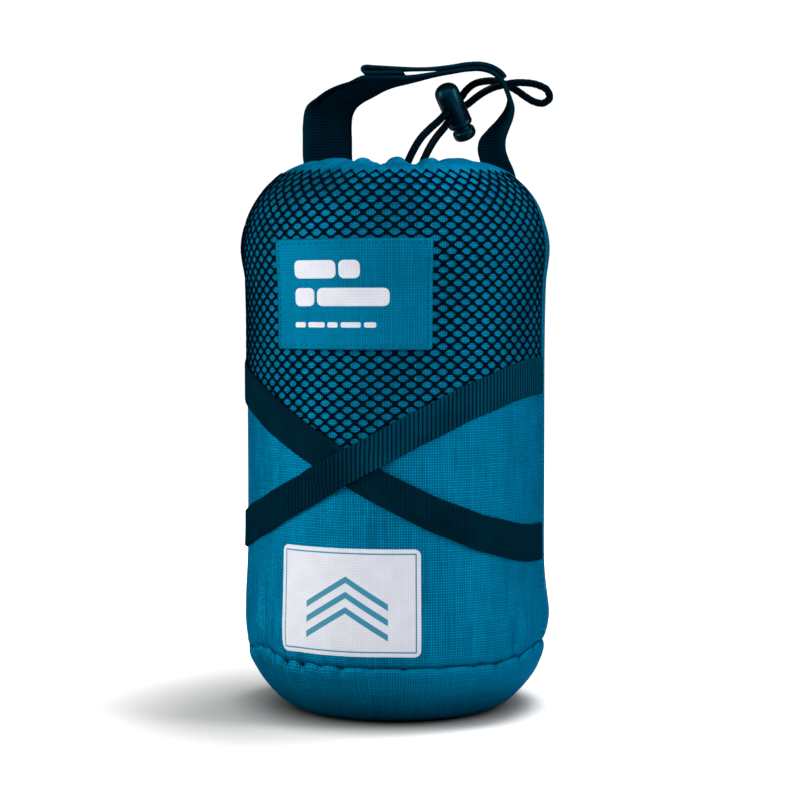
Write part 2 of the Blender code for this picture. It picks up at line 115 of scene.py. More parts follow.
def turned(vectors: Array | Spot | Table) -> Array:
    """Turn vectors about Z from the handle's axes into the sack's.

    Args:
        vectors: One (along, behind, height), or rows of them.

    Returns:
        The same as x, y and z.
    """
    cosine, sine = math.cos(math.radians(FRONT_TURN)), math.sin(math.radians(FRONT_TURN))
    x, y, z = np.moveaxis(np.asarray(vectors, dtype=float), -1, 0)
    return np.stack((cosine * x - sine * y, sine * x + cosine * y, z), axis=-1)


def about(radius: Array | float, turn: Array, height: Array | float) -> Array:
    """Points round the sack's axis, turned from its front by radians."""
    return np.stack(np.broadcast_arrays(radius * np.sin(turn), -radius * np.cos(turn), height),
                    axis=-1)


def smooth(value: Array | float) -> Array:
    """Soft step that is 0 below 0, 1 above 1 and an S curve between."""
    value = np.clip(value, 0.0, 1.0)
    return value * value * (3.0 - 2.0 * value)


def bell(distance: Array, width: float) -> Array:
    """Bell curve of height one that falls to about a third at its width."""
    return np.exp(-((distance / width) ** 2))


def apart(angles: Array, angle: float) -> Array:
    """Turns from one angle to others, between -180 and 180."""
    return (angles - angle + 180.0) % 360.0 - 180.0


def lengths_along(points: Array) -> Array:
    """Distance of each point from the first one, along the line."""
    steps = np.linalg.norm(np.diff(points, axis=0), axis=1)
    return np.concatenate(([0.0], np.cumsum(steps)))


def sampled(at: Array, run: Array, rows: Array) -> Array:
    """Rows read off a line of rows at lengths along it."""
    return np.column_stack([np.interp(at, run, column) for column in rows.T])


def circle(sides: int) -> Array:
    """Even angles once round, in radians."""
    return np.arange(sides) * 2.0 * math.pi / sides


def rings_round(line: Array, side: Array, other: Array, radius: Array, turn: Array) -> Array:
    """Ring of points round each point of a line.

    Args:
        line: Points of the line.
        side: Way across the line at each.
        other: Second way across, square to the first.
        radius: Radius of each ring point, or one for each ring.
        turn: Angles of the ring points.

    Returns:
        Points as (ring, point, 3).
    """
    return (line[:, None] + side[:, None] * (radius * np.cos(turn))[..., None]
            + other[:, None] * (radius * np.sin(turn))[..., None])


def through(rows: Array | Table, count: int, columns: int = 3) -> Array:
    """Rows resampled evenly on a smooth curve through all of them.

    Args:
        rows: Rows whose first columns are a position.
        count: Number of rows wanted.
        columns: How many columns are the position.

    Returns:
        The resampled rows.
    """
    rows = np.asarray(rows, dtype=float)
    for _ in range(2):
        run = lengths_along(rows[:, :columns])
        slopes = np.gradient(rows, run, axis=0)
        at = np.linspace(0.0, run[-1], count)
        low = np.clip(np.searchsorted(run, at, side="right") - 1, 0, len(run) - 2)
        span = (run[low + 1] - run[low])[:, None]
        t = (at[:, None] - run[low][:, None]) / span
        rows = (rows[low] * (1.0 + 2.0 * t) * (1.0 - t) ** 2
                + slopes[low] * span * t * (1.0 - t) ** 2
                + rows[low + 1] * t * t * (3.0 - 2.0 * t)
                + slopes[low + 1] * span * t * t * (t - 1.0))
    return rows


def grid_faces(rows: int, columns: int, stride: int) -> list[Face]:
    """Quads of a grid of points whose last column joins the first.

    Args:
        rows: Number of rows.
        columns: Number of columns.
        stride: Points from one row to the next, one more than the columns where the first
            column is there again at the end of the row.

    Returns:
        The quads, turned to face the side from which rows run up and columns run right.
    """
    faces = []
    for start in range(0, (rows - 1) * stride, stride):
        for column in range(columns):
            beside = (column + 1) % stride
            faces.append((start + column, start + beside,
                          start + stride + beside, start + stride + column))
    return faces


def signed_volume(vertices: Array, faces: list[Face]) -> float:
    """Volume inside closed faces, below zero where they look inwards.

    Args:
        vertices: Rows of points.
        faces: Faces as indices of points.

    Returns:
        The volume.
    """
    total = 0.0
    for size in {len(face) for face in faces}:
        same = np.array([face for face in faces if len(face) == size])
        for corner in range(1, size - 1):
            a, b, c = (vertices[same[:, i]] for i in (0, corner, corner + 1))
            total += float((a * np.cross(b, c)).sum()) / 6.0
    return total


@dataclass
class Shell:
    """Points and faces of one piece, with what its finish needs at each face corner.

    Attributes:
        vertices: Rows of points.
        faces: Faces as indices of points.
        places: Rows of places on the flat cut.
        corners: For each face, the indices of its corners' places.
        relief: How far each point stands proud, 0 to 1, where the finish uses that for painted
            highlight.
    """

    vertices: Array
    faces: list[Face]
    places: Array
    corners: list[Face]
    relief: Array | None = None

    def face_outwards(self) -> None:
        """Turn the faces over where they look inwards."""
        if signed_volume(self.vertices, self.faces) < 0.0:
            self.faces = [face[::-1] for face in self.faces]
            self.corners = [corner[::-1] for corner in self.corners]

    def build(self, name: str, finish: Material) -> Object:
        """Make the object.

        Args:
            name: Name of the piece.
            finish: Its material.

        Returns:
            The new object, smooth shaded and linked to the scene.
        """
        self.face_outwards()
        mesh = bpy.data.meshes.new(name)
        mesh.from_pydata((self.vertices * MM).tolist(), [], self.faces)
        order = np.fromiter((i for corner in self.corners for i in corner), dtype=np.int64)
        place = mesh.attributes.new(PLACE, "FLOAT_VECTOR", "CORNER")
        place.data.foreach_set("vector", self.places[order].astype(np.float32).ravel())
        if self.relief is not None:
            relief = mesh.attributes.new(PAINTED_RIB_LIGHT, "FLOAT", "POINT")
            relief.data.foreach_set("value", self.relief.astype(np.float32))
        mesh.shade_smooth()
        mesh.materials.append(finish)
        return linked(bpy.data.objects.new(name, mesh))


def linked(thing: Object) -> Object:
    """Link an object to the scene and hand it on."""
    bpy.context.scene.collection.objects.link(thing)
    return thing


def tube_shell(rings: Array, across: Array | float = 0.0, along: Array | float = 0.0,
               relief: Array | None = None) -> Shell:
    """Closed tube through rings of points, with a cap at each end.

    Args:
        rings: Points as (ring, point, 3).
        across: Place of each ring point on the flat cut, with one more for the closing point.
        along: Place of each ring along the flat cut.
        relief: How far each ring point stands proud, as (ring, point), for painted highlight.

    Returns:
        The closed shell.
    """
    count, size = rings.shape[:2]
    places = np.zeros((count, size + 1, 3))
    places[..., 0] = across
    places[..., 1] = np.reshape(along, (-1, 1))
    grids = []
    for stride in (size, size + 1):
        last = (count - 1) * stride
        grids.append(grid_faces(count, size, stride)
                     + [tuple(range(size))[::-1], tuple(range(last, last + size))])
    return Shell(rings.reshape(-1, 3), grids[0], places.reshape(-1, 3), grids[1],
                 None if relief is None else relief.ravel())


# ---------------------------------------------------------------- finishes


class Wire:
    """Output of a shader node, for sums written as they are on paper."""

    def __init__(self, graph: "Graph", socket: bpy.types.NodeSocket) -> None:
        """Keep an output with the graph that it is part of."""
        self.graph, self.socket = graph, socket

    def __add__(self, other: "Feed") -> "Wire":
        """Sum."""
        return self.graph.math("ADD", self, other)

    def __sub__(self, other: "Feed") -> "Wire":
        """Difference."""
        return self.graph.math("SUBTRACT", self, other)

    def __rsub__(self, other: float) -> "Wire":
        """Difference from a number."""
        return self.graph.math("SUBTRACT", other, self)

    def __mul__(self, other: "Feed") -> "Wire":
        """Product."""
        return self.graph.math("MULTIPLY", self, other)

    def __abs__(self) -> "Wire":
        """Size without its sign."""
        return self.graph.math("ABSOLUTE", self)

    def ramp(self, low: float, high: float, start: float = 0.0, end: float = 1.0) -> "Wire":
        """Soft step from one number to another.

        Args:
            low: Value at which the step starts.
            high: Value at which it ends.
            start: Result at and below low.
            end: Result at and above high.

        Returns:
            The stepped output.
        """
        return self.graph.wire("MapRange", dict(enumerate((self, low, high, start, end))),
                               interpolation_type="SMOOTHSTEP")

    def middle(self) -> "Wire":
        """Distance from the middle between two whole numbers."""
        return abs(self.graph.math("FRACT", self) - 0.5)

    def line(self, low: float, high: float) -> "Wire":
        """Soft line at each whole number, from its start to its full share of a pitch."""
        return (self.middle() * 2.0).ramp(low, high)

    def wave(self) -> "Wire":
        """Sine wave of one turn for each whole number."""
        return self.graph.math("SINE", self * (2.0 * math.pi))

    def length(self) -> "Wire":
        """Length of a vector."""
        return self.graph.wire("VectorMath", {0: self}, "Value", operation="LENGTH")


Feed = Wire | float | Colour


class Graph:
    """Shader nodes of one material or world, laid out by short calls."""

    def __init__(self, owner: Material | bpy.types.World,
                 shader: str = "Principled BSDF") -> None:
        """Start on the nodes of a new material or world.

        Args:
            owner: The material or world.
            shader: Name of its shader node.
        """
        owner.use_nodes = True
        self.owner, self.tree = owner, owner.node_tree
        self.shader = self.tree.nodes[shader]

    def feed(self, socket: bpy.types.NodeSocket, value: Feed) -> None:
        """Link or set a socket.

        Args:
            socket: Socket to fill.
            value: A wire, a number, or a colour or vector.
        """
        if isinstance(value, Wire):
            self.tree.links.new(value.socket, socket)
        elif isinstance(value, tuple):
            socket.default_value = (*value, 1.0)[:len(socket.default_value)]
        else:
            socket.default_value = value

    def set(self, **sockets: Feed) -> None:
        """Fill the shader's own sockets, named with _ for a space."""
        for name, value in sockets.items():
            self.feed(self.shader.inputs[name.replace("_", " ")], value)

    def wire(self, kind: str, feeds: dict[int | str, Feed] | None = None,
             output: int | str = 0, **settings: str) -> Wire:
        """Add a node.

        Args:
            kind: Its kind, as the end of its type's name.
            feeds: What goes into its sockets, by number or name.
            output: Which output is wanted.
            **settings: Its own settings.

        Returns:
            That output.
        """
        node = self.tree.nodes.new("ShaderNode" + kind)
        for name, value in settings.items():
            setattr(node, name, value)
        for name, value in (feeds or {}).items():
            self.feed(node.inputs[name], value)
        return Wire(self, node.outputs[output])

    def math(self, operation: str, *values: Feed) -> Wire:
        """One sum, by the name of the math node's operation."""
        return self.wire("Math", dict(enumerate(values)), operation=operation)

    def place(self, across: float = 1.0, along: float = 1.0) -> Wire:
        """Place on the flat cut.

        Args:
            across: Pitch that counts as 1 across it.
            along: Pitch that counts as 1 along it.

        Returns:
            The place, counted in both pitches.
        """
        spot = self.wire("Attribute", output="Vector", attribute_name=PLACE)
        return self.wire("VectorMath", {0: spot, 1: (1.0 / across, 1.0 / along, 1.0)},
                         operation="MULTIPLY")

    def ways(self, across: float = 1.0, along: float = 1.0) -> tuple[Wire, Wire]:
        """Both parts of the place on the flat cut."""
        place = self.place(across, along)
        return tuple(self.wire("SeparateXYZ", {0: place}, part) for part in ("X", "Y"))

    def noise(self, spot: Wire, detail: float = 2.0, roughness: float = 0.5,
              scale: float = 1.0) -> Wire:
        """Cloudy noise about 0.5.

        Args:
            spot: Where it is read.
            detail: Layers of finer noise.
            roughness: Strength of those layers.
            scale: Lumps for each unit.

        Returns:
            The noise.
        """
        return self.wire("TexNoise", {"Vector": spot, "Scale": scale, "Detail": detail,
                                      "Roughness": roughness}, "Fac")

    def blend(self, share: Feed, first: Feed, second: Feed, kind: str = "MIX") -> Wire:
        """Mix of two colours.

        Args:
            share: How much of the second colour.
            first: First colour.
            second: Second colour.
            kind: Way of mixing.

        Returns:
            The mixed colour.
        """
        return self.wire("Mix", {0: share, 6: first, 7: second}, 2,
                         data_type="RGBA", blend_type=kind)

    def shaded(self, colour: Feed, shade: Wire) -> Wire:
        """Colour times a number."""
        grey = self.wire("CombineColor", dict.fromkeys(range(3), shade))
        return self.blend(1.0, colour, grey, "MULTIPLY")

    def bump(self, height: Wire, distance: float) -> None:
        """Raise the surface by a height, where 1 is the full distance."""
        self.set(Normal=self.wire("Bump", {"Height": height, "Distance": distance * MM,
                                           "Strength": 1.0}, "Normal"))


def scaled(colour: Colour, share: float) -> Colour:
    """Colour made lighter or darker by a factor."""
    return tuple(min(part * share, 1.0) for part in colour)


@dataclass(frozen=True)
class RipstopFinish:
    """Coated ripstop cloth: a plain weave with heavier threads in a small square grid.

    Attributes:
        name: Name of the material.
        colour: The cloth's colour.
        tint: Colour of its sheen.
        grid: Pitch of the heavier threads.
        weave: Pitch of the plain weave.
        thread_light: Lightness of the heavier threads.
        ground_dark: Lightness of the cloth between them.
        roughness: Middle of its roughness.
        metallic: Share of coated shine.
        relief: Height of the bump.
        streaks: Strength of the long pulls in the cloth.
    """

    name: str = "ripstop"
    colour: Colour = (0.0003, 0.104, 0.200)
    tint: Colour = (0.0, 0.55, 0.9)
    grid: float = 1.28
    weave: float = 0.32
    thread_light: float = 1.68
    ground_dark: float = 0.66
    roughness: float = 0.42
    metallic: float = 0.62
    relief: float = 0.11
    streaks: float = 0.75

    def make(self) -> Material:
        """Make the material.

        Returns:
            The material.
        """
        graph = Graph(bpy.data.materials.new(self.name))
        across, along = graph.ways(self.grid, self.grid)
        slub = (graph.noise(graph.place(1.1, 26.0)).ramp(0.3, 0.7, 0.55, 1.30)
                * graph.noise(graph.place(22.0, 1.1)).ramp(0.3, 0.7, 0.70, 1.25))
        lines = graph.math("MAXIMUM", across.line(0.52, 0.95), along.line(0.52, 0.95)) * slub
        warp, weft = graph.ways(self.weave, self.weave)
        cloud = graph.noise(graph.place(30.0, 30.0), 3.0)
        streak = graph.noise(graph.place(7.5, 90.0))
        pull = graph.noise(graph.place(2.4, 24.0))
        soft, fine = 0.09 * self.streaks, 0.055 * self.streaks
        shade = (cloud.ramp(0.25, 0.75, 0.90, 1.10)
                 * streak.ramp(0.25, 0.75, 1.0 - soft, 1.0 + soft)
                 * pull.ramp(0.3, 0.7, 1.0 - fine, 1.0 + fine))
        colour = graph.blend(lines, scaled(self.colour, self.ground_dark),
                             scaled(self.colour, self.thread_light))
        rough = cloud.ramp(0.2, 0.8, self.roughness - 0.04, self.roughness + 0.05)
        graph.set(Base_Color=graph.shaded(colour, shade), Roughness=rough + lines * -0.05,
                  Metallic=self.metallic, Specular_IOR_Level=0.0, Specular_Tint=self.tint)
        graph.bump(lines + warp.wave() * weft.wave() * 0.16 + streak * (1.35 * self.streaks)
                   + pull * (0.6 * self.streaks), self.relief)
        return graph.owner


@dataclass(frozen=True)
class YarnFinish:
    """Dark yarn or webbing with painted highlight on ribs or strands, by the mesh's relief.

    Attributes:
        name: Name of the material.
        colour: Colour in the grooves, the yarn's own colour with painted shade.
        crest_highlight: Colour on the ribs, a painted highlight.
        rows: Pitch of the twill along the yarn.
        columns: Pitch of the twill across it.
        roughness: Middle of its roughness.
        specular: Level of its plain shine.
        relief: Height of the bump.
        tint: Colour of its sheen.
    """

    name: str
    colour: Colour
    crest_highlight: Colour
    rows: float = 0.9
    columns: float = 0.45
    roughness: float = 0.55
    specular: float = 0.0
    relief: float = 0.06
    tint: Colour = (0.0, 0.60, 1.0)

    def make(self) -> Material:
        """Make the material.

        Returns:
            The material.
        """
        graph = Graph(bpy.data.materials.new(self.name))
        proud = graph.wire("Attribute", output="Fac", attribute_name=PAINTED_RIB_LIGHT)
        across, along = graph.ways(self.columns, self.rows)
        twill = across.wave() * (along + across * 0.5).wave()
        cloud = graph.noise(graph.place(14.0, 22.0), 3.0)
        fluff = graph.noise(graph.place(0.7, 0.7), 3.0, 0.6)
        shade = cloud.ramp(0.25, 0.75, 0.82, 1.18) * fluff.ramp(0.2, 0.8, 0.80, 1.2)
        # Painted light: grooves keep the dark colour, proud ribs and strands get the crest
        # highlight.
        colour = graph.blend(proud.ramp(0.15, 0.95), self.colour, self.crest_highlight)
        rough = fluff.ramp(0.2, 0.8, self.roughness - 0.06, self.roughness + 0.08)
        graph.set(Base_Color=graph.shaded(colour, shade), Roughness=rough,
                  Specular_IOR_Level=self.specular, Specular_Tint=self.tint)
        graph.bump(twill * 0.5 + fluff, self.relief)
        return graph.owner


@dataclass(frozen=True)
class PlasticFinish:
    """Moulded satin plastic with a fine grain.

    Attributes:
        name: Name of the material.
        colour: The plastic's colour.
        tint: Colour of its sheen.
        roughness: Middle of its roughness.
        specular: Level of its plain shine.
    """

    name: str = "moulded_plastic"
    colour: Colour = (0.0002, 0.0022, 0.0050)
    tint: Colour = (0.0, 0.65, 1.0)
    roughness: float = 0.33
    specular: float = 0.30

    def make(self) -> Material:
        """Make the material.

        Returns:
            The material.
        """
        graph = Graph(bpy.data.materials.new(self.name))
        spot = graph.wire("TexCoord", output="Object")
        wear = graph.noise(spot, 3.0, scale=160.0)
        colour = graph.blend(wear.ramp(0.3, 0.7), scaled(self.colour, 0.8),
                             scaled(self.colour, 1.3))
        rough = wear.ramp(0.3, 0.7, self.roughness - 0.05, self.roughness + 0.07)
        graph.set(Base_Color=colour, Roughness=rough,
                  Specular_IOR_Level=self.specular, Specular_Tint=self.tint)
        graph.bump(graph.noise(spot, scale=2600.0), 0.03)
        return graph.owner


@dataclass(frozen=True)
class PrintFinish:
    """White reflective print on cloth, with nested chevrons left in the cloth's own colour.

    Attributes:
        name: Name of the material.
        ink: Colour of the print.
        ground: Colour left in the chevrons and the border line.
        half_width: Half the print's width, or 0 for plain print.
        half_height: Half its height.
        weave: Pitch of the cloth's threads showing through.
        stroke: Width of a chevron's stroke.
        step: Height from one chevron to the next.
        slope: Slope of their arms.
        reach: Half their width.
        level: Height of the middle chevron's tip.
        rise: How far the chevrons go on above and below that.
        border: Distance of the border line's middle from the edge.
    """

    name: str
    ink: Colour = (0.497, 0.512, 0.580)
    ground: Colour = (0.004, 0.150, 0.245)
    half_width: float = 0.0
    half_height: float = 0.0
    weave: float = 1.28
    stroke: float = 3.2
    step: float = 7.4
    slope: float = 0.62
    reach: float = 21.0
    level: float = 5.0
    rise: float = 11.05
    border: float = 2.35

    def marks(self, graph: Graph) -> Wire:
        """Chevrons and a thin border line inside the print.

        Args:
            graph: Nodes of the material.

        Returns:
            1 where the cloth's colour shows.
        """
        across, along = graph.ways()
        side = abs(across)
        level = along + side * self.slope
        half = 0.5 * self.stroke / self.step
        count = level * (1.0 / self.step) + 100.0      # never below zero
        stripe = (count.middle().ramp(half - 0.015, half + 0.015, 1.0, 0.0)
                  * side.ramp(self.reach - 0.2, self.reach + 0.2, 1.0, 0.0)
                  * abs(level - self.level).ramp(self.rise - 0.15, self.rise + 0.15, 1.0, 0.0))
        edge = graph.math("MINIMUM", self.half_width - side, self.half_height - abs(along))
        border = (edge.ramp(self.border - 0.45, self.border - 0.25)
                  * edge.ramp(self.border + 0.25, self.border + 0.45, 1.0, 0.0))
        return graph.math("MAXIMUM", stripe, border)

    def make(self) -> Material:
        """Make the material.

        Returns:
            The material.
        """
        graph = Graph(bpy.data.materials.new(self.name))
        across, along = graph.ways(self.weave, self.weave)
        lines = graph.math("MAXIMUM", across.line(0.6, 0.97), along.line(0.6, 0.97))
        cloud = graph.noise(graph.place(9.0, 9.0), 3.0)
        fleck = graph.noise(graph.place(0.5, 0.5))
        shade = (cloud.ramp(0.25, 0.75, 0.95, 1.04) * fleck.ramp(0.3, 0.7, 0.95, 1.03)
                 * lines.ramp(0.0, 1.0, 1.03, 0.86))
        colour = graph.shaded(self.ink, shade)
        if self.half_width:
            colour = graph.blend(self.marks(graph), colour, self.ground)
        graph.set(Base_Color=colour, Roughness=cloud.ramp(0.2, 0.8, 0.50, 0.62))
        graph.bump(lines, 0.03)
        return graph.owner


# ---------------------------------------------------------------- the filled sack's surface

WALL_RADIUS = 76.7
ARC = math.radians(WALL_RADIUS)       # length of one degree round the wall
FLAT_BACK = 400.0                     # height, far off every crease, read inside the mouth
SHOULDER_TOP = 278.0

# The wall's rows, from the base seam over the shoulder and down into the mouth: radius, height,
# how far the mouth's folds swing it out and up, its dip in front and its share of the gathers.
# The last four are 0 where they are left out.
WALL = (
    (75.10, 31.10), (76.35, 32.20), (77.20, 37.00), (77.80, 44.00), (77.60, 56.00),
    (76.90, 78.00), (76.70, 110.0), (76.70, 150.0), (76.80, 185.0), (77.10, 208.0),
    (77.50, 220.0), (78.30, 229.0), (78.50, 235.5), (77.90, 242.0), (76.70, 248.0),
    (75.00, 254.0), (72.20, 260.0),
    (68.30, 265.4, 0.0, 0.0, 0.1, 0.0), (63.80, 269.8, 0.0, 0.0, 0.5, 0.1),
    (59.20, 273.5, 0.0, 0.0, 1.3, 0.2), (53.80, 276.4, 0.0, 0.1, 2.6, 0.3),
    (48.60, 278.2, 0.0, 0.4, 3.7, 0.4), (43.20, 279.3, 0.0, 0.9, 4.2, 0.4),
    (37.00, 278.5, 0.2, 1.4, 3.6, 0.45), (31.40, 277.4, 0.7, 1.7, 2.2, 0.45),
    (27.60, 277.6, 1.3, 1.9, 1.2, 0.35), (25.00, 278.8, 1.8, 1.9, 0.4, 0.25),
    (22.90, 279.4, 2.0, 1.8, 0.0, 0.25), (20.80, 279.1, 2.0, 1.6, 0.0, 0.5),
    (19.40, 277.2, 1.8, 1.2, 0.0, 0.9), (18.00, 272.9, 1.4, 0.8, 0.0, 1.1),
    (15.20, 268.6, 0.8, 0.3, 0.0, 0.9), (11.00, 266.4, 0.2, 0.0, 0.0, 0.7),
    (6.00, 265.0, 0.0, 0.0, 0.0, 0.3), (1.00, 264.6),
)
WALL_SAMPLES = 900
FOLDS = 8                     # folds of the gathered mouth
FOLD_TURN = 18.0              # angle of the first
DIP_TURN = 15.0               # where the shoulder is lowest
DIP_SPREAD = 26.0
PLEAT_DEPTH = 0.62
PLEATS = (                    # (count round the mouth, phase, share) of the fine gathers
    (17.0, 2.0, 0.45), (41.0, 0.7, 0.25),
)
# Where the base seam wanders up: (angle, rise, half width)
SEAM_RISES = ((-44.0, 4.3, 11.0), (89.0, 4.0, 15.0), (-28.0, -0.6, 4.0), (14.0, 0.3, 9.0),
              (55.0, -0.5, 7.0), (-120.0, 1.5, 16.0), (150.0, 1.0, 18.0), (-165.0, -0.8, 12.0))
SEAM_REACH = 16.0             # how far up the cloth follows that


@dataclass(frozen=True)
class Crease:
    """Soft ridge of the cloth, or a trough where its rise is below zero.

    Attributes:
        angle: Its middle's angle from the front.
        height: Its middle's height.
        rise: Height off the cloth.
        across: Half its width.
        along: Half its length.
        lean: Lean of its length from upright, towards growing angles.
    """

    angle: float
    height: float
    rise: float
    across: float
    along: float
    lean: float = 0.0

    def at(self, angles: Array, heights: Array) -> Array:
        """How far the cloth stands off its smooth shape.

        Args:
            angles: Angles from the front.
            heights: Heights.

        Returns:
            The rise at each place.
        """
        side = apart(angles, self.angle) * ARC
        up = heights - self.height
        cosine, sine = math.cos(math.radians(self.lean)), math.sin(math.radians(self.lean))
        return (self.rise * bell(side * cosine - up * sine, self.across)
                * bell(side * sine + up * cosine, self.along))


CREASES = tuple(Crease(*row) for row in (
    # side seams, each a narrow welt
    (92.0, 150.0, 0.9, 1.6, 140.0), (-92.0, 150.0, 0.9, 1.6, 140.0),
    # upright folds low on the left
    (-45.5, 50.0, 1.5, 1.7, 17.0, 2.0), (-41.5, 48.0, -1.3, 1.7, 17.0, 2.0),
    (-55.0, 58.0, -1.0, 3.0, 24.0, -3.0), (-62.0, 58.0, 0.9, 3.4, 22.0),
    (-33.0, 44.0, 0.5, 3.0, 11.0, 8.0), (-25.0, 41.0, 0.35, 3.0, 8.0, -6.0),
    (-36.0, 60.0, -0.35, 2.6, 20.0, 3.0),
    # upright folds low on the right
    (67.4, 40.0, -1.5, 1.9, 10.0, -6.0), (62.0, 41.0, 1.0, 2.2, 10.0, -4.0),
    (72.5, 44.0, 1.1, 2.0, 13.0, -6.0), (81.5, 47.0, -1.6, 2.4, 16.0, -3.0),
    (87.0, 50.0, 0.5, 2.6, 14.0), (56.0, 66.0, -0.3, 2.2, 16.0, 3.0),
    (105.0, 47.0, 1.8, 11.0, 14.0), (105.0, 32.5, -0.6, 9.0, 2.6),
    # puckers above the base seam
    (-44.0, 35.0, -1.0, 1.5, 4.0, 10.0), (-28.7, 33.0, -0.9, 1.4, 4.0, -16.0),
    (-20.6, 32.6, -0.8, 1.4, 3.6, 14.0), (-12.0, 33.0, 0.35, 2.6, 3.5),
    (-3.7, 32.4, -0.5, 1.5, 3.4, 8.0), (19.9, 32.4, -0.4, 1.6, 3.4, -6.0),
    (37.0, 33.0, -0.5, 1.8, 4.0, 12.0), (50.0, 33.6, -0.5, 1.6, 4.6, -10.0),
    (110.0, 34.0, -0.8, 2.5, 6.0, 8.0), (140.0, 33.0, -0.7, 2.2, 5.0),
    (171.0, 34.0, -0.9, 2.6, 6.0, -9.0), (-152.0, 33.0, -0.7, 2.4, 5.0, 6.0),
    (-118.0, 34.0, -0.9, 2.2, 6.0, -6.0), (-80.0, 36.0, -0.9, 2.0, 6.0, 6.0),
    # fine folds between and beside the straps
    (46.7, 140.0, 0.30, 1.6, 15.0, 5.0), (50.5, 136.0, -0.28, 1.6, 17.0, 5.0),
    (38.0, 128.0, -0.22, 2.4, 16.0, -8.0), (62.0, 128.0, 0.30, 2.4, 22.0, 2.0),
    (-31.9, 127.0, -0.42, 1.3, 15.0), (-35.4, 122.0, 0.30, 2.0, 20.0, -2.0),
    (-43.0, 124.0, -0.28, 2.2, 20.0), (-50.0, 130.0, 0.3, 2.6, 22.0, 2.0),
    (-34.0, 78.0, -0.30, 4.0, 18.0, 10.0), (36.0, 82.0, -0.30, 4.0, 22.0, -12.0),
    (52.0, 78.0, 0.30, 3.6, 16.0, 6.0), (-58.0, 84.0, 0.35, 3.6, 10.0, 40.0),
    # slack round the back
    (122.0, 150.0, 1.1, 9.0, 60.0, 3.0), (138.0, 120.0, -1.5, 7.0, 55.0, -4.0),
    (160.0, 170.0, 1.2, 8.0, 50.0, 4.0), (178.0, 110.0, -1.5, 7.0, 60.0, 2.0),
    (-160.0, 150.0, 1.2, 8.0, 60.0, -3.0), (-140.0, 105.0, -1.5, 7.0, 48.0, 4.0),
    (-120.0, 160.0, 0.7, 10.0, 60.0, 2.0), (-104.0, 118.0, -0.6, 6.0, 50.0),
    (111.0, 118.0, 0.6, 9.0, 46.0), (150.0, 70.0, 0.6, 5.0, 24.0, -8.0),
    (-150.0, 66.0, 0.6, 5.0, 24.0, 8.0), (128.0, 218.0, -0.6, 5.0, 22.0, 10.0),
    (-170.0, 222.0, -0.6, 5.0, 24.0, -8.0), (-128.0, 214.0, 0.5, 5.0, 22.0, 6.0),
    # full part under the shoulder
    (100.0, 238.0, 0.8, 14.0, 12.0), (-74.0, 238.0, 1.1, 9.0, 13.0),
    (-74.0, 222.0, -0.5, 8.0, 5.0), (-76.0, 263.0, -1.4, 20.0, 9.0),
))


def seam_rise(angles: Array) -> Array:
    """How far the base seam wanders up from its level."""
    return sum(rise * bell(apart(angles, angle), width) for angle, rise, width in SEAM_RISES)


class Wall:
    """Outer face of the filled sack, from the base seam over the shoulder into the mouth."""

    def __init__(self) -> None:
        """Smooth the table of rows and measure along it."""
        self.rows = through([row + (0.0,) * (6 - len(row)) for row in WALL], WALL_SAMPLES, 2)
        self.run = lengths_along(self.rows[:, :2])
        along = unit(np.gradient(self.rows[:, :2], axis=0))
        self.normals = np.column_stack((along[:, 1], -along[:, 0]))
        self.rising = int(np.argmax(self.rows[:, 1] >= SHOULDER_TOP))

    def run_of(self, heights: Array | float) -> Array:
        """Length along the rows up to heights below the shoulder's top."""
        return np.interp(heights, self.rows[:self.rising, 1], self.run[:self.rising])

    def at(self, angles: Array | float, runs: Array, lift: Array | float = 0.0) -> Array:
        """Points on the wall or off it.

        Args:
            angles: Angles from the front.
            runs: Lengths along the rows from the base seam.
            lift: Distance off the cloth.

        Returns:
            Points, in the shape of angles and runs together.
        """
        angles, runs = np.broadcast_arrays(np.asarray(angles, float), np.asarray(runs, float))
        radius, height, fold_out, fold_up, dip, pleat = (
            np.interp(runs, self.run, column) for column in self.rows.T)
        out, up = (np.interp(runs, self.run, column) for column in self.normals.T)
        turn = np.radians(angles)
        wave = np.cos(FOLDS * (turn - math.radians(FOLD_TURN)))
        fine = np.cos(27.0 * turn + 1.7 * np.sin(3.0 * turn) + 1.1 * np.sin(5.0 * turn + 1.0))
        fine = fine + sum(share * np.cos(count * turn + phase) for count, phase, share in PLEATS)
        level = np.where(pleat > 0.25, FLAT_BACK, height)
        rise = sum(crease.at(angles, level) for crease in CREASES)
        push = lift + rise + PLEAT_DEPTH * pleat * fine
        height = height + fold_up * wave - dip * bell(apart(angles, DIP_TURN), DIP_SPREAD)
        height = height + push * up + seam_rise(angles) * bell(runs, SEAM_REACH)
        return about(radius + fold_out * wave + push * out, turn, height)

    def on(self, angles: Array | float, heights: Array, lift: Array | float = 0.0) -> Array:
        """Points on the wall's rising part or off it, at angles and heights."""
        return self.at(angles, self.run_of(heights), lift)


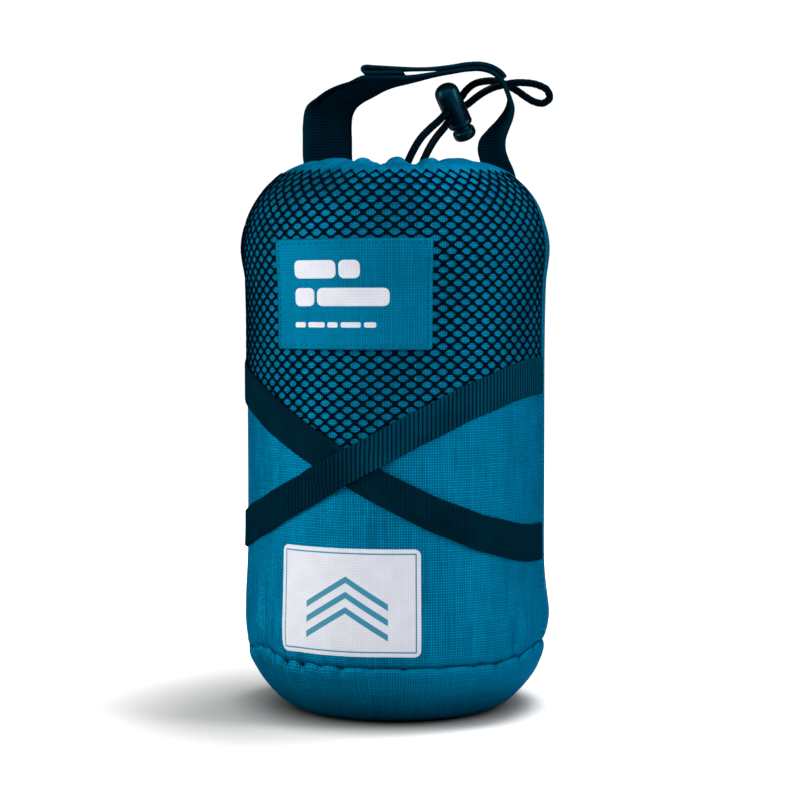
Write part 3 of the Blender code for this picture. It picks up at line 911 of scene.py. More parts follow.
@dataclass
class StrapLine:
    """Centre line and width of one cross strap.

    Attributes:
        table: Rows of (angle from the front, height).
        narrow: Width where the two straps cross.
        widen: Width gained towards the side seams.
        middle: Angle at which they cross.
        widen_run: Turn over which the width is gained.
        gap: Distance of the strap's inner face off the cloth.
        thick: Thickness.
        tuck: How far the strap is sunk at the seams.
        rise: Length over which it climbs onto a strap below it.
        clear: Distance from that strap at which it has climbed.
    """

    table: Table
    narrow: float = 15.8
    widen: float = 2.9
    middle: float = 8.0
    widen_run: float = 75.0
    gap: float = 0.45
    thick: float = 1.6
    tuck: float = 1.1
    rise: float = 7.0
    clear: float = 2.0

    def __post_init__(self) -> None:
        """Smooth the centre line."""
        self.angles = np.linspace(-SEAM_ANGLE, SEAM_ANGLE, 721)
        known = np.array(self.table)
        heights = np.interp(self.angles, known[:, 0], known[:, 1])
        kernel = bell(np.linspace(-1.6, 1.6, 41), 1.0)
        padded = np.pad(heights, 20, mode="reflect", reflect_type="odd")
        self.heights = np.convolve(padded, kernel / kernel.sum(), mode="valid")
        self.slopes = np.gradient(self.heights, self.angles) / ARC

    def at(self, angles: Array | float) -> tuple[Array, Array, Array]:
        """Centre line and width.

        Args:
            angles: Angles from the front.

        Returns:
            Heights, slopes and widths there.
        """
        width = self.narrow + self.widen * smooth(np.abs(angles - self.middle) / self.widen_run)
        return (np.interp(angles, self.angles, self.heights),
                np.interp(angles, self.angles, self.slopes), width)

    def top(self, angles: Array | float) -> Array:
        """Height of the strap's upper edge at angles from the front."""
        height, slope, width = self.at(angles)
        return height + 0.5 * width * np.hypot(1.0, slope)

    def spots(self, angles: Array | float, shares: Array,
              other: "StrapLine | None" = None) -> tuple[Array, Array, Array]:
        """Places across the strap.

        Args:
            angles: Angles along it.
            shares: Shares of its half width, from -1 to 1.
            other: Line of the strap that it crosses over.

        Returns:
            Angles, heights and lifts of its inner face.
        """
        height, slope, width = self.at(angles)
        up = height + shares * 0.5 * width * np.hypot(1.0, slope)
        at = np.broadcast_to(angles, up.shape)
        tuck = 1.0 - smooth((SEAM_ANGLE - np.abs(at)) / 3.0)
        press = 1.0 - smooth((at + 74.0) / 16.0)      # drawn in round the left side
        lift = self.gap - self.tuck * np.maximum(tuck, press)
        if other:
            middle, tilt, span = other.at(at)
            clear = np.abs(up - middle) / np.hypot(1.0, tilt) - 0.5 * span - self.clear
            lift = lift + (self.thick + self.gap) * (1.0 - smooth(clear / self.rise))
        return at, up, lift


UPPER_LINE = StrapLine((
    (-90.0, 88.0), (-75.0, 89.9), (-59.0, 93.3), (-38.5, 102.7), (-17.9, 115.9), (2.7, 131.2),
    (23.3, 146.4), (43.9, 159.6), (64.5, 168.3), (76.0, 170.6), (90.0, 171.2),
))
LOWER_LINE = StrapLine((
    (-90.0, 172.5), (-76.0, 171.2), (-62.0, 167.0), (-45.8, 159.9), (-26.9, 147.1), (-8.0, 133.3),
    (10.9, 119.0), (29.8, 106.1), (48.6, 95.9), (67.5, 89.3), (77.0, 87.6), (90.0, 86.9),
))


# ---------------------------------------------------------------- pieces


def place_piece(thing: Object, body: Body, slot: Slot, *nodes: str) -> None:
    """Put a piece on its body and hide the CAD nodes it stands for.

    Args:
        thing: The piece.
        body: Body that carries it.
        slot: Its material slot; not used.
        *nodes: CAD nodes it stands for.
    """
    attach(thing, body.value)
    if nodes:
        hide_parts(*nodes)
    LOG.info("%s: %d faces", thing.name, len(thing.data.polygons))


@dataclass
class SackBody:
    """Filled wall of the sack with its gathered mouth.

    Attributes:
        wall: The sack's surface.
        columns: Points round it.
        shoulder: Height from which the rows lie closer.
        row_step: Length from row to row below that.
        mouth_step: Length above it.
        under: Rows below the base seam, inside the base panel.
    """

    wall: Wall
    columns: int = 400
    shoulder: float = 272.0
    row_step: float = 2.0
    mouth_step: float = 1.0
    under: Table = (          # (radius, height)
        (47.9, 1.95), (53.4, 2.9), (58.1, 5.4), (62.2, 9.1), (66.2, 14.1), (69.5, 19.6),
        (72.1, 25.6), (73.0, 29.4),
    )

    def build(self, finish: Material) -> None:
        """Build the wall as one closed shell.

        Args:
            finish: Its cloth.
        """
        shoulder = float(self.wall.run_of(self.shoulder))
        runs = np.concatenate((np.arange(0.0, shoulder, self.row_step),
                               np.arange(shoulder, self.wall.run[-1], self.mouth_step)))
        angles = np.degrees(circle(self.columns)) - 180.0
        low = [about(radius, np.radians(angles), np.full(self.columns, height))
               for radius, height in self.under]
        rings = np.concatenate((np.array(low), self.wall.at(angles[None, :], runs[:, None])))
        along = np.concatenate((np.linspace(-30.0, -1.0, len(low)), runs))
        across = np.append(angles, 180.0) * ARC
        body = tube_shell(rings, across, along).build("filled_sack", finish)
        place_piece(body, Body.SACK, Slot.CLOTH, "sack_body")


@dataclass
class BasePanel:
    """Round bottom cloth, puckered along its seam with the wall.

    Attributes:
        columns: Points round it.
        thick: Thickness.
        seam: Height of the seam.
        flat_reach: Run over which the cloth lies flat on the ground.
        full_angle: Side on which the filling pushes the cloth out.
        full_rise: How far it does.
        full_turn: Half the turn over which it does.
        profile: Rows of (radius, height) from the middle to the seam.
        puckers: Rows of (angle, depth, half width, reach down).
        swells: Rows of (angle, rise, half width) between the puckers.
    """

    columns: int = 432
    thick: float = 1.3
    seam: float = 30.0
    flat_reach: float = 51.0
    full_angle: float = 107.0
    full_rise: float = 1.3
    full_turn: float = 42.0
    profile: Table = (
        (1.0, 0.0), (24.0, 0.0), (42.0, 0.0), (48.5, 0.12), (54.0, 1.05), (59.0, 3.6),
        (63.5, 7.6), (68.0, 12.7), (71.9, 18.4), (74.8, 24.6), (76.1, 28.3), (76.1, 30.4),
        (75.3, 31.1),
    )
    puckers: Table = (
        (-44.0, 1.3, 1.3, 5.5), (-36.5, 0.9, 1.1, 3.2), (-28.7, 1.4, 1.2, 4.0),
        (-20.6, 1.2, 1.2, 3.6), (-12.0, 0.5, 1.2, 2.8), (-3.7, 0.8, 1.3, 3.2),
        (8.0, 0.3, 1.6, 2.6), (19.9, 0.5, 1.3, 3.0), (33.0, 0.25, 1.6, 3.0),
        (47.0, 0.35, 1.4, 3.6), (58.0, 0.5, 1.6, 4.4), (72.0, 0.8, 1.6, 5.0),
        (84.0, 0.9, 2.0, 6.0), (104.0, 1.0, 1.9, 5.0), (127.0, 0.9, 1.8, 5.0),
        (151.0, 1.1, 2.0, 6.0), (176.0, 0.9, 1.8, 5.0), (-160.0, 1.0, 2.0, 5.0),
        (-137.0, 1.1, 1.8, 6.0), (-112.0, 0.9, 2.0, 5.0), (-91.0, 0.9, 1.8, 5.0),
        (-66.0, 1.1, 1.6, 5.0), (-55.0, 0.8, 1.4, 4.0),
    )
    swells: Table = (
        (-60.0, 0.9, 4.5), (-50.0, 1.1, 3.6), (-40.0, 1.3, 2.8), (-32.6, 1.4, 2.8),
        (-24.6, 1.4, 3.0), (-16.0, 1.1, 3.2), (-8.0, 0.8, 3.4), (3.0, 0.4, 4.0),
        (27.0, 0.25, 5.0), (40.0, 0.25, 4.0), (53.0, 0.4, 3.6), (65.0, 0.6, 4.4),
        (78.0, 0.8, 4.0), (94.0, 0.7, 7.0), (115.0, 0.8, 9.0), (165.0, 0.7, 9.0),
        (-148.0, 0.8, 9.0), (-125.0, 0.7, 8.0), (-101.0, 0.7, 6.0), (-79.0, 0.8, 6.0),
    )

    def rises(self, angles: Array, below: Array) -> tuple[Array, Array]:
        """How far the cloth is pushed out and up.

        Args:
            angles: Angles from the front.
            below: Distances below the seam.

        Returns:
            The push off the cloth and the rise of the seam, as (row, column).
        """
        fuller = bell(apart(angles, self.full_angle), self.full_turn)
        rise = self.full_rise * bell(below - 11.0, 12.0)[:, None] * fuller
        scallop = np.zeros(self.columns)
        for angle, depth, width, reach in self.puckers:
            notch = bell(apart(angles, angle), width)
            rise -= 1.5 * depth * bell(below, reach)[:, None] * notch
            scallop -= 1.1 * depth * notch
        for angle, height, width in self.swells:
            lump = bell(apart(angles, angle), width)
            rise += height * bell(below - 3.6, 4.6)[:, None] * lump
            scallop += 0.9 * height * lump
        seam = bell(below, 15.0)[:, None] * seam_rise(angles)
        return rise, seam + bell(below, 3.4)[:, None] * scallop

    def flat_places(self, angles: Array, run: Array) -> Array:
        """Places on the flat cut: round the middle, then unrolled along the seam.

        Args:
            angles: Angles from the front, with one more for the closing point.
            run: Length from the middle at each ring.

        Returns:
            Rows of places, ring by ring.
        """
        places = np.zeros((len(run), len(angles), 3))
        run, turn = run[:, None], np.radians(angles)
        rolled = run > self.flat_reach
        places[..., 0] = np.where(rolled, angles * ARC, run * np.sin(turn))
        places[..., 1] = np.where(rolled, run, run * np.cos(turn))
        return places.reshape(-1, 3)

    def build(self, finish: Material) -> None:
        """Build the panel as a bowl of thin cloth.

        Args:
            finish: Its cloth.
        """
        outer = through(self.profile, 70, 2)
        run = lengths_along(outer) + outer[0, 0]
        way = unit(np.gradient(outer, axis=0))
        angles = np.degrees(circle(self.columns)) - 180.0
        rise, wander = self.rises(angles, self.seam - outer[:, 1])
        faces = []
        for inset, floor in ((0.0, 0.0), (self.thick, 0.6)):
            radius = outer[:, :1] + (rise - inset) * way[:, 1:]
            height = np.maximum(outer[:, 1:] - (rise - inset) * way[:, :1], floor) + wander
            faces.append(about(radius, np.radians(angles), height))
        shell = tube_shell(np.concatenate((faces[0], faces[1][::-1])))
        shell.places = self.flat_places(np.append(angles, 180.0),
                                        np.concatenate((run, run[::-1])))
        base = shell.build("bottom_cloth", finish)
        place_piece(base, Body.SACK, Slot.CLOTH, "base_panel")
        size = 2.0 * run[-1] * MM
        0.25 * math.pi * size ** 2


@dataclass
class Netting:
    """Knitted net over the front, a lattice of strands round pointed holes.

    Attributes:
        wall: The sack's surface.
        pitch: Turn from one column of holes to the next.
        first: Angle of column 0.
        level: Height of row 0.
        below: Height from row to row below that.
        above: Height above it.
        top_row: The highest row.
        hole_width: Width of a hole.
        hole_height: Its height.
        lift: Distance of a strand off the cloth.
        thick: Its thickness.
        corner_points: Points along a quarter of a hole.
        sewn_thick: Thickness where the net is sewn down.
        sewn_lift: Its middle off the cloth there.
        drawn: Turn before a side seam from which the net is drawn together.
        slack: How far the free strands wave in and out.
        cut: Width and height of the flat net, in metres.
        cut_area: Its area, in square metres.
        section: Rows of (share of the way from the strand's middle to the hole, height from
            -1 to 1) round a strand.
    """

    wall: Wall
    pitch: float = 5.8
    first: float = 2.1
    level: float = 250.6
    below: float = 3.053
    above: float = 3.2
    top_row: int = -6
    hole_width: float = 5.65
    hole_height: float = 3.45
    lift: float = 0.14
    thick: float = 0.58
    corner_points: int = 3
    sewn_thick: float = 0.26
    sewn_lift: float = 0.24
    drawn: float = 1.2
    slack: float = 0.125
    cut: tuple[float, float] = (0.241, 0.150)
    cut_area: float = 0.0165
    section: Table = (
        (0.0, 1.0), (0.5, 0.80), (0.86, 0.45), (1.0, -0.1), (0.62, -0.8), (0.0, -1.0),
    )

    def heights(self, rows: Array | float) -> Array:
        """Heights of whole and part rows."""
        return self.level - rows * np.where(rows > 0.0, self.below, self.above)

    def edge(self, angles: Array | float) -> Array:
        """Height of the net's lower edge, along the straps."""
        return np.maximum(UPPER_LINE.top(angles), LOWER_LINE.top(angles))

    def outlines(self) -> tuple[Array, Array]:
        """Outline of one tile and of its hole, from the right corner on.

        Returns:
            Both as rows of (columns, rows) from the tile's middle.
        """
        tile, hole = [], []
        half_hole = 0.5 * self.hole_width / (self.pitch * ARC)
        tall = 0.5 * self.hole_height / self.below
        for quarter, (side, rise) in enumerate(((1, 1), (-1, 1), (-1, -1), (1, -1))):
            for step in range(self.corner_points):
                share = step / self.corner_points
                if quarter % 2:
                    share = (self.corner_points - step) / self.corner_points
                swing = math.cos(0.5 * math.pi * share)
                tile.append((side * 0.5 * (1.0 - share), rise * share))
                hole.append((side * half_hole * swing, rise * tall * (1.0 - swing ** 2)))
        return np.array(tile), np.array(hole)

    def tiles(self) -> Array:
        """Middles of the holes.

        Returns:
            Rows of (column, row).
        """
        middles = []
        for row in range(self.top_row, 60):
            for column in range(-17, 17):
                place = column + (0.5 if row % 2 else 0.0)
                angle = self.first + self.pitch * place
                if (abs(angle) <= SEAM_ANGLE + 0.3 * self.pitch
                        and self.heights(row) > self.edge(angle) - 4.0):
                    middles.append((place, row))
        return np.array(middles)

    def surface(self, lattice: Array, level: Array) -> Array:
        """Points of the net.

        Args:
            lattice: Rows of (column, row), with parts.
            level: Heights across the strand, from -1 to 1.

        Returns:
            Points on the sack.
        """
        angles = self.first + self.pitch * lattice[:, 0]
        limit = SEAM_ANGLE - self.drawn
        past = np.clip(np.abs(angles) - limit, 0.0, None)
        angles = np.where(past > 0.0, np.sign(angles) * (limit + 0.22 * past), angles)
        heights = self.heights(lattice[:, 1])
        sewn = np.maximum(smooth((self.edge(angles) + 1.4 - heights) / 2.4),
                          0.7 * smooth((np.abs(angles) - limit + 1.0) / 1.2))
        wave = self.slack * np.sin(0.9 * lattice[:, 0] + 0.22 * lattice[:, 1])
        centre = (1.0 - sewn) * (self.lift + 0.5 * self.thick + wave) + sewn * self.sewn_lift
        half = 0.5 * ((1.0 - sewn) * self.thick + sewn * self.sewn_thick)
        return self.wall.on(angles, heights, centre + half * level)

    def weave(self) -> tuple[Array, Array, list[Face]]:
        """Join the tiles into one closed lattice.

        Returns:
            Rows of (column, row), heights across the strand, and the faces.
        """
        tile, hole = self.outlines()
        shares, ups = np.array(self.section).T
        ring = tile * (1.0 - shares[:, None, None]) + hole * shares[:, None, None]
        lattice = self.tiles()[:, None, None, :] + ring[None]
        shape = lattice.shape[:3]
        kind = np.broadcast_to(np.arange(len(ups))[:, None], shape).ravel()
        keys = np.column_stack((np.round(lattice.reshape(-1, 2) * 600.0), kind))
        _, first, index = np.unique(keys, axis=0, return_index=True, return_inverse=True)
        faces = []
        rim: dict[tuple[int, int], Face] = {}
        for block in index.reshape(shape).tolist():
            for spot in range(len(tile)):
                after = (spot + 1) % len(tile)
                for low, high in zip(block, block[1:]):
                    faces.append((low[spot], low[after], high[after], high[spot]))
                top, bottom = block[0], block[-1]
                edge = (min(top[spot], top[after]), max(top[spot], top[after]))
                if edge in rim:
                    del rim[edge]
                else:
                    rim[edge] = (top[after], top[spot], bottom[spot], bottom[after])
        return lattice.reshape(-1, 2)[first], ups[kind[first]], faces + list(rim.values())

    def build(self, finish: Material) -> None:
        """Build the lattice.

        Args:
            finish: Its yarn.
        """
        flat, level, faces = self.weave()
        places = np.column_stack((flat[:, 0] * self.pitch * ARC, -flat[:, 1] * self.below,
                                  np.zeros(len(flat))))
        # The strands' outer faces are painted in the crest highlight, their undersides in the
        # darker painted shade.
        net = Shell(self.surface(flat, level), faces, places, faces,
                    0.5 + 0.5 * level).build("front_net", finish)
        place_piece(net, Body.SACK, Slot.NET, "mesh_pocket")


def rounded_outline(half_width: float, half_height: float, corner: float,
                    count: int) -> Array:
    """Outline of a rectangle with rounded corners.

    Args:
        half_width: Half its width.
        half_height: Half its height.
        corner: Radius of its corners.
        count: Number of points.

    Returns:
        Rows of (across, up), anticlockwise.
    """
    outline = []
    for index, (side, rise) in enumerate(((1, 1), (-1, 1), (-1, -1), (1, -1))):
        for step in range(9):
            swing = 0.5 * math.pi * (index + step / 8.0)
            outline.append((side * (half_width - corner) + corner * math.cos(swing),
                            rise * (half_height - corner) + corner * math.sin(swing)))
    line = np.array(outline + outline[:1])
    run = lengths_along(line)
    return sampled(np.linspace(0.0, run[-1], count, endpoint=False), run, line)


@dataclass
class Patch:
    """Rounded rectangle of cloth or print that follows the sack's wall.

    Attributes:
        wall: The sack's surface.
        name: Name of the piece.
        angle: Its middle's angle from the front.
        height: Its middle's height.
        width: Width round the wall.
        tall: Height.
        corner: Radius of its corners.
        lift: Its inner face off the wall.
        thick: Thickness.
        hem: Width of a raised, turned edge, or 0.
        points: Points round it.
        rings: Rings from its middle to its edge.
        edge: Heights of the rounded edge, as shares of the thickness.
    """

    wall: Wall
    name: str
    angle: float
    height: float
    width: float
    tall: float
    corner: float
    lift: float
    thick: float
    hem: float = 0.0
    points: int = 240
    rings: int = 26
    edge: tuple[float, ...] = (0.8, 0.55, 0.4, 0.1)

    def lift_at(self, flat: Array) -> Array:
        """Rise of the outer face above its even thickness.

        Args:
            flat: Rows of (across, up) from the middle.

        Returns:
            The rise at each.
        """
        if not self.hem:
            return np.zeros(flat.shape[:-1])
        inside = np.minimum(0.5 * self.width - np.abs(flat[..., 0]),
                            0.5 * self.tall - np.abs(flat[..., 1]))
        sunk = bell(inside - 0.62 * self.hem, 0.55)
        return 0.35 * (1.0 - smooth((inside - self.hem) / 0.7)) - 0.22 * sunk

    def build(self, finish: Material, slot: Slot, *nodes: str) -> Object:
        """Build the patch.

        Args:
            finish: Its material.
            slot: Material slot.
            *nodes: CAD nodes it stands for.

        Returns:
            The piece.
        """
        outline = rounded_outline(0.5 * self.width, 0.5 * self.tall, self.corner, self.points)
        upper = outline * np.linspace(0.01, 0.985, self.rings)[:, None, None]
        rim = outline * np.array((0.997, 1.0))[:, None, None]
        flat = np.concatenate((upper, rim, rim[::-1], upper[::-1]))
        edge = np.array(self.edge) * self.thick
        edge[0] += 0.2 * bool(self.hem)
        lifts = np.concatenate((self.thick + self.lift_at(upper),
                                np.broadcast_to(edge[:, None], (len(edge), self.points)),
                                np.zeros(upper.shape[:2])))
        shell = tube_shell(self.wall.on(self.angle + flat[..., 0] / ARC,
                                        self.height + flat[..., 1], self.lift + lifts))
        shell.places[:, :2] = np.concatenate((flat, flat[:, :1]), axis=1).reshape(-1, 2)
        patch = shell.build(self.name, finish)
        place_piece(patch, Body.SACK, slot, *nodes)
        return patch


@dataclass
class Label:
    """Hemmed cloth patch on the net with a row of plain printed bars.

    Attributes:
        wall: The sack's surface.
        angle: Its middle's angle from the front.
        height: Its middle's height.
        width: Width.
        tall: Height.
        corner: Radius of its corners.
        hem: Width of its turned edge.
        lift: Its inner face off the wall.
        thick: Thickness.
        turned_in: Cloth turned in, both sides together.
        print_thick: Thickness of the print.
        bars: Rows of (across, up, width, height), one for each bar.
    """

    wall: Wall
    angle: float = 0.2
    height: float = 211.5
    width: float = 79.0
    tall: float = 53.2
    corner: float = 1.6
    hem: float = 3.6
    lift: float = 1.95
    thick: float = 0.9
    turned_in: float = 4.0
    print_thick: float = 0.12
    bars: Table = (
        (-16.6, 12.2, 22.0, 8.8), (0.9, 12.2, 10.2, 8.8), (-22.2, -1.2, 10.8, 8.8),
        (2.1, -1.2, 35.0, 8.8), (-24.7, -14.6, 6.0, 2.6), (-15.9, -14.6, 8.8, 2.6),
        (-7.5, -14.6, 5.2, 2.6), (1.4, -14.6, 9.6, 2.6), (10.6, -14.6, 5.6, 2.6),
    )

    def build(self, cloth: Material, ink: Material) -> None:
        """Build the patch and its print.

        Args:
            cloth: Material of the patch.
            ink: Material of the print.
        """
        patch = Patch(self.wall, "net_label", self.angle, self.height, self.width, self.tall,
                      self.corner, self.lift, self.thick, self.hem)
        cloth_piece = patch.build(cloth, Slot.CLOTH, "label_patch")
        for index, (across, up, width, tall) in enumerate(self.bars):
            bar = Patch(self.wall, f"label_bar_{index + 1}", self.angle + across / ARC,
                        self.height + up, width, tall, 0.30 * min(width, tall),
                        self.lift + self.thick + 0.02, self.print_thick, points=72, rings=8)
            bar.build(ink, Slot.CLOTH)
        (self.width + self.turned_in) * MM
        (self.tall + self.turned_in) * MM


def band_loop(edge_share: float, across: int) -> tuple[Array, Array]:
    """Closed section of a flat band with rounded edges.

    Args:
        edge_share: Share of the half width taken by each rounded edge.
        across: Points across each face.

    Returns:
        Shares of the half width and of the half thickness, both from -1 to 1.
    """
    swing = np.radians(np.array((0.0, 32.0, 62.0)))
    inner = np.linspace(1.0 - edge_share, edge_share - 1.0, across)
    side = np.concatenate((1.0 - edge_share * (1.0 - np.cos(swing)), inner,
                           edge_share * (1.0 - np.cos(swing[:0:-1])) - 1.0))
    rise = np.concatenate((np.sin(swing), np.ones(across), np.sin(swing[:0:-1])))
    return np.concatenate((side, -side)), np.concatenate((rise, -rise))


def rib_wave(run: Array, pitch: float) -> Array:
    """Rounded ribs at a pitch along a band: 0 in the narrow grooves and 1 on the ribs."""
    return np.abs(np.sin(math.pi * run / pitch)) ** 0.7


@dataclass
class CrossStrap:
    """Webbing strap sewn across the front from seam to seam.

    Attributes:
        wall: The sack's surface.
        name: Name of the piece.
        node: CAD node it stands for.
        line: Its centre line.
        other: Line of the strap that it crosses over.
        rib_pitch: Length from rib to rib.
        rib_left: Depth of the ribs at the left seam; it also scales their painted highlight.
        rib_right: Depth at the right seam.
        calm: Even share of the crest highlight colour where the ribs lie flat.
        rounding: Share of the half width taken by each rounded edge.
        across: Points across each face.
        per_rib: Points along each rib.
    """

    wall: Wall
    name: str
    node: str
    line: StrapLine
    other: StrapLine | None = None
    rib_pitch: float = 2.08
    rib_left: float = 0.05
    rib_right: float = 0.20
    calm: float = 0.30
    rounding: float = 0.10
    across: int = 9
    per_rib: int = 6

    def build(self, finish: Material) -> None:
        """Build the strap.

        Args:
            finish: Its webbing.
        """
        ribs = round(2.0 * SEAM_ANGLE * ARC / self.rib_pitch)
        angles = np.linspace(-SEAM_ANGLE, SEAM_ANGLE, ribs * self.per_rib + 1)
        share, level = band_loop(self.rounding, self.across)
        proud = rib_wave(np.linspace(0.0, ribs, len(angles)), 1.0)
        depth = self.rib_left + (self.rib_right - self.rib_left) * smooth((angles + 9.0) / 24.0)
        at, up, lift = self.line.spots(angles[:, None], share, self.other)
        sink = (depth * (1.0 - proud))[:, None] * (level > 0.5)
        rings = self.wall.on(at, up, lift + 0.5 * self.line.thick * (1.0 + level) - sink)
        run = lengths_along(rings.mean(axis=1))
        width = float(self.line.at(angles)[2].mean())
        # Painted rib light: share of the crest highlight, with more contrast where the ribs are
        # deeper.
        painted_light = self.calm + (proud - self.calm) * depth / max(self.rib_right, 0.2)
        relief = np.broadcast_to(painted_light[:, None], rings.shape[:2])
        strap = tube_shell(rings, np.append(share, share[0]) * 0.5 * width, run,
                           relief).build(self.name, finish)
        place_piece(strap, Body.SACK, Slot.WEBBING, self.node)


def handle_station(row: tuple[float, ...]) -> Array:
    """Ribbon station of a table row.

    Args:
        row: Along, behind, height, face and tip.

    Returns:
        Its middle, the way of its width and its bow, seven numbers.
    """
    face, tip = math.radians(row[3]), math.radians(row[4])
    way = (math.cos(face) * math.cos(tip), math.sin(face) * math.cos(tip), math.sin(tip))
    return np.append(turned((row[:3], way)), 0.0)


@dataclass
class Ribbon:
    """Flat webbing strap that bends and twists through stations.

    Attributes:
        name: Name of the piece.
        node: CAD node it stands for.
        stations: Rows of middle, way of the width and bow of the edges.
        curl: Run where the left edge starts to curl back, run where it stops, and the turn.
        curl_from: Share of the half width at which the curl starts.
        curl_ease: Run over which it grows, and again over which it fades.
        width: Width.
        thick: Thickness.
        rib_pitch: Length from rib to rib.
        rib_depth: Depth of the grooves.
        rounding: Share of the half width taken by each rounded edge.
        selvedge: Shares of the half width at which the flat edge starts, left and right.
        selvedge_light: Shares of the crest highlight colour painted on the flat edge, left and
            right.
        ridge_highlight: The same, a painted highlight, on the ridge of a curl.
        across: Points across each face.
        per_rib: Points along each rib.
    """

    name: str
    node: str
    stations: Array
    curl: tuple[float, float, float] = (0.0, 0.0, 0.0)
    curl_from: float = 0.45
    curl_ease: float = 10.0
    width: float = 27.2
    thick: float = 1.9
    rib_pitch: float = 1.55
    rib_depth: float = 0.17
    rounding: float = 0.075
    selvedge: tuple[float, float] = (0.66, 0.80)
    selvedge_light: tuple[float, float] = (1.0, 0.30)
    ridge_highlight: float = 1.25
    across: int = 19
    per_rib: int = 6

    def build(self, finish: Material, rests_on: str) -> None:
        """Build the strap.

        Args:
            finish: Its webbing.
            rests_on: CAD node that it is sewn to; not used.
        """
        length = lengths_along(through(self.stations, 400)[:, :3])[-1]
        ribs = round(length / self.rib_pitch)
        rows = through(self.stations, ribs * self.per_rib + 1)
        centre, way, bow = rows[:, :3], unit(rows[:, 3:6]), rows[:, 6:7]
        run = lengths_along(centre)
        face = unit(np.cross(unit(np.gradient(centre, axis=0)), way))
        share, level = band_loop(self.rounding, self.across)
        left = share < 0.0
        proud = rib_wave(run, run[-1] / ribs)[:, None]
        middle = 1.0 - smooth((np.abs(share) - np.where(left, *self.selvedge)) / 0.12)
        sink = self.rib_depth * (1.0 - proud) * (0.25 + 0.75 * middle)
        up = level * (0.5 * self.thick - sink) - bow * share ** 2
        start, stop, degrees = self.curl
        curled = (smooth((run - start) / self.curl_ease)
                  * (1.0 - smooth((run - stop) / self.curl_ease)))[:, None]
        over = np.clip(-share - self.curl_from, 0.0, None)
        turn = math.radians(degrees) * curled * smooth(over / 0.12)
        half = 0.5 * self.width
        side = half * (share + over * (1.0 - np.cos(turn))) + up * np.sin(turn)
        rise = up * np.cos(turn) + half * over * np.sin(turn)
        rings = centre[:, None] + way[:, None] * side[..., None] + face[:, None] * rise[..., None]
        # Painted light: crest highlight on ribs and flat edges, painted shade on the curled-back
        # band, painted highlight on its ridge.
        painted_light = np.where(left, *self.selvedge_light)
        painted_light = painted_light + (proud - painted_light) * middle
        if degrees:
            painted_light = painted_light * (1.0 - 0.95 * curled * smooth(over / 0.08))
            ridge = curled * bell(share + self.curl_from, 0.10)
            painted_light = painted_light + (self.ridge_highlight - painted_light) * ridge
        strap = tube_shell(rings, np.append(share, share[0]) * half, run,
                           painted_light).build(self.name, finish)
        place_piece(strap, Body.SACK, Slot.WEBBING, self.node)
        self.width * MM


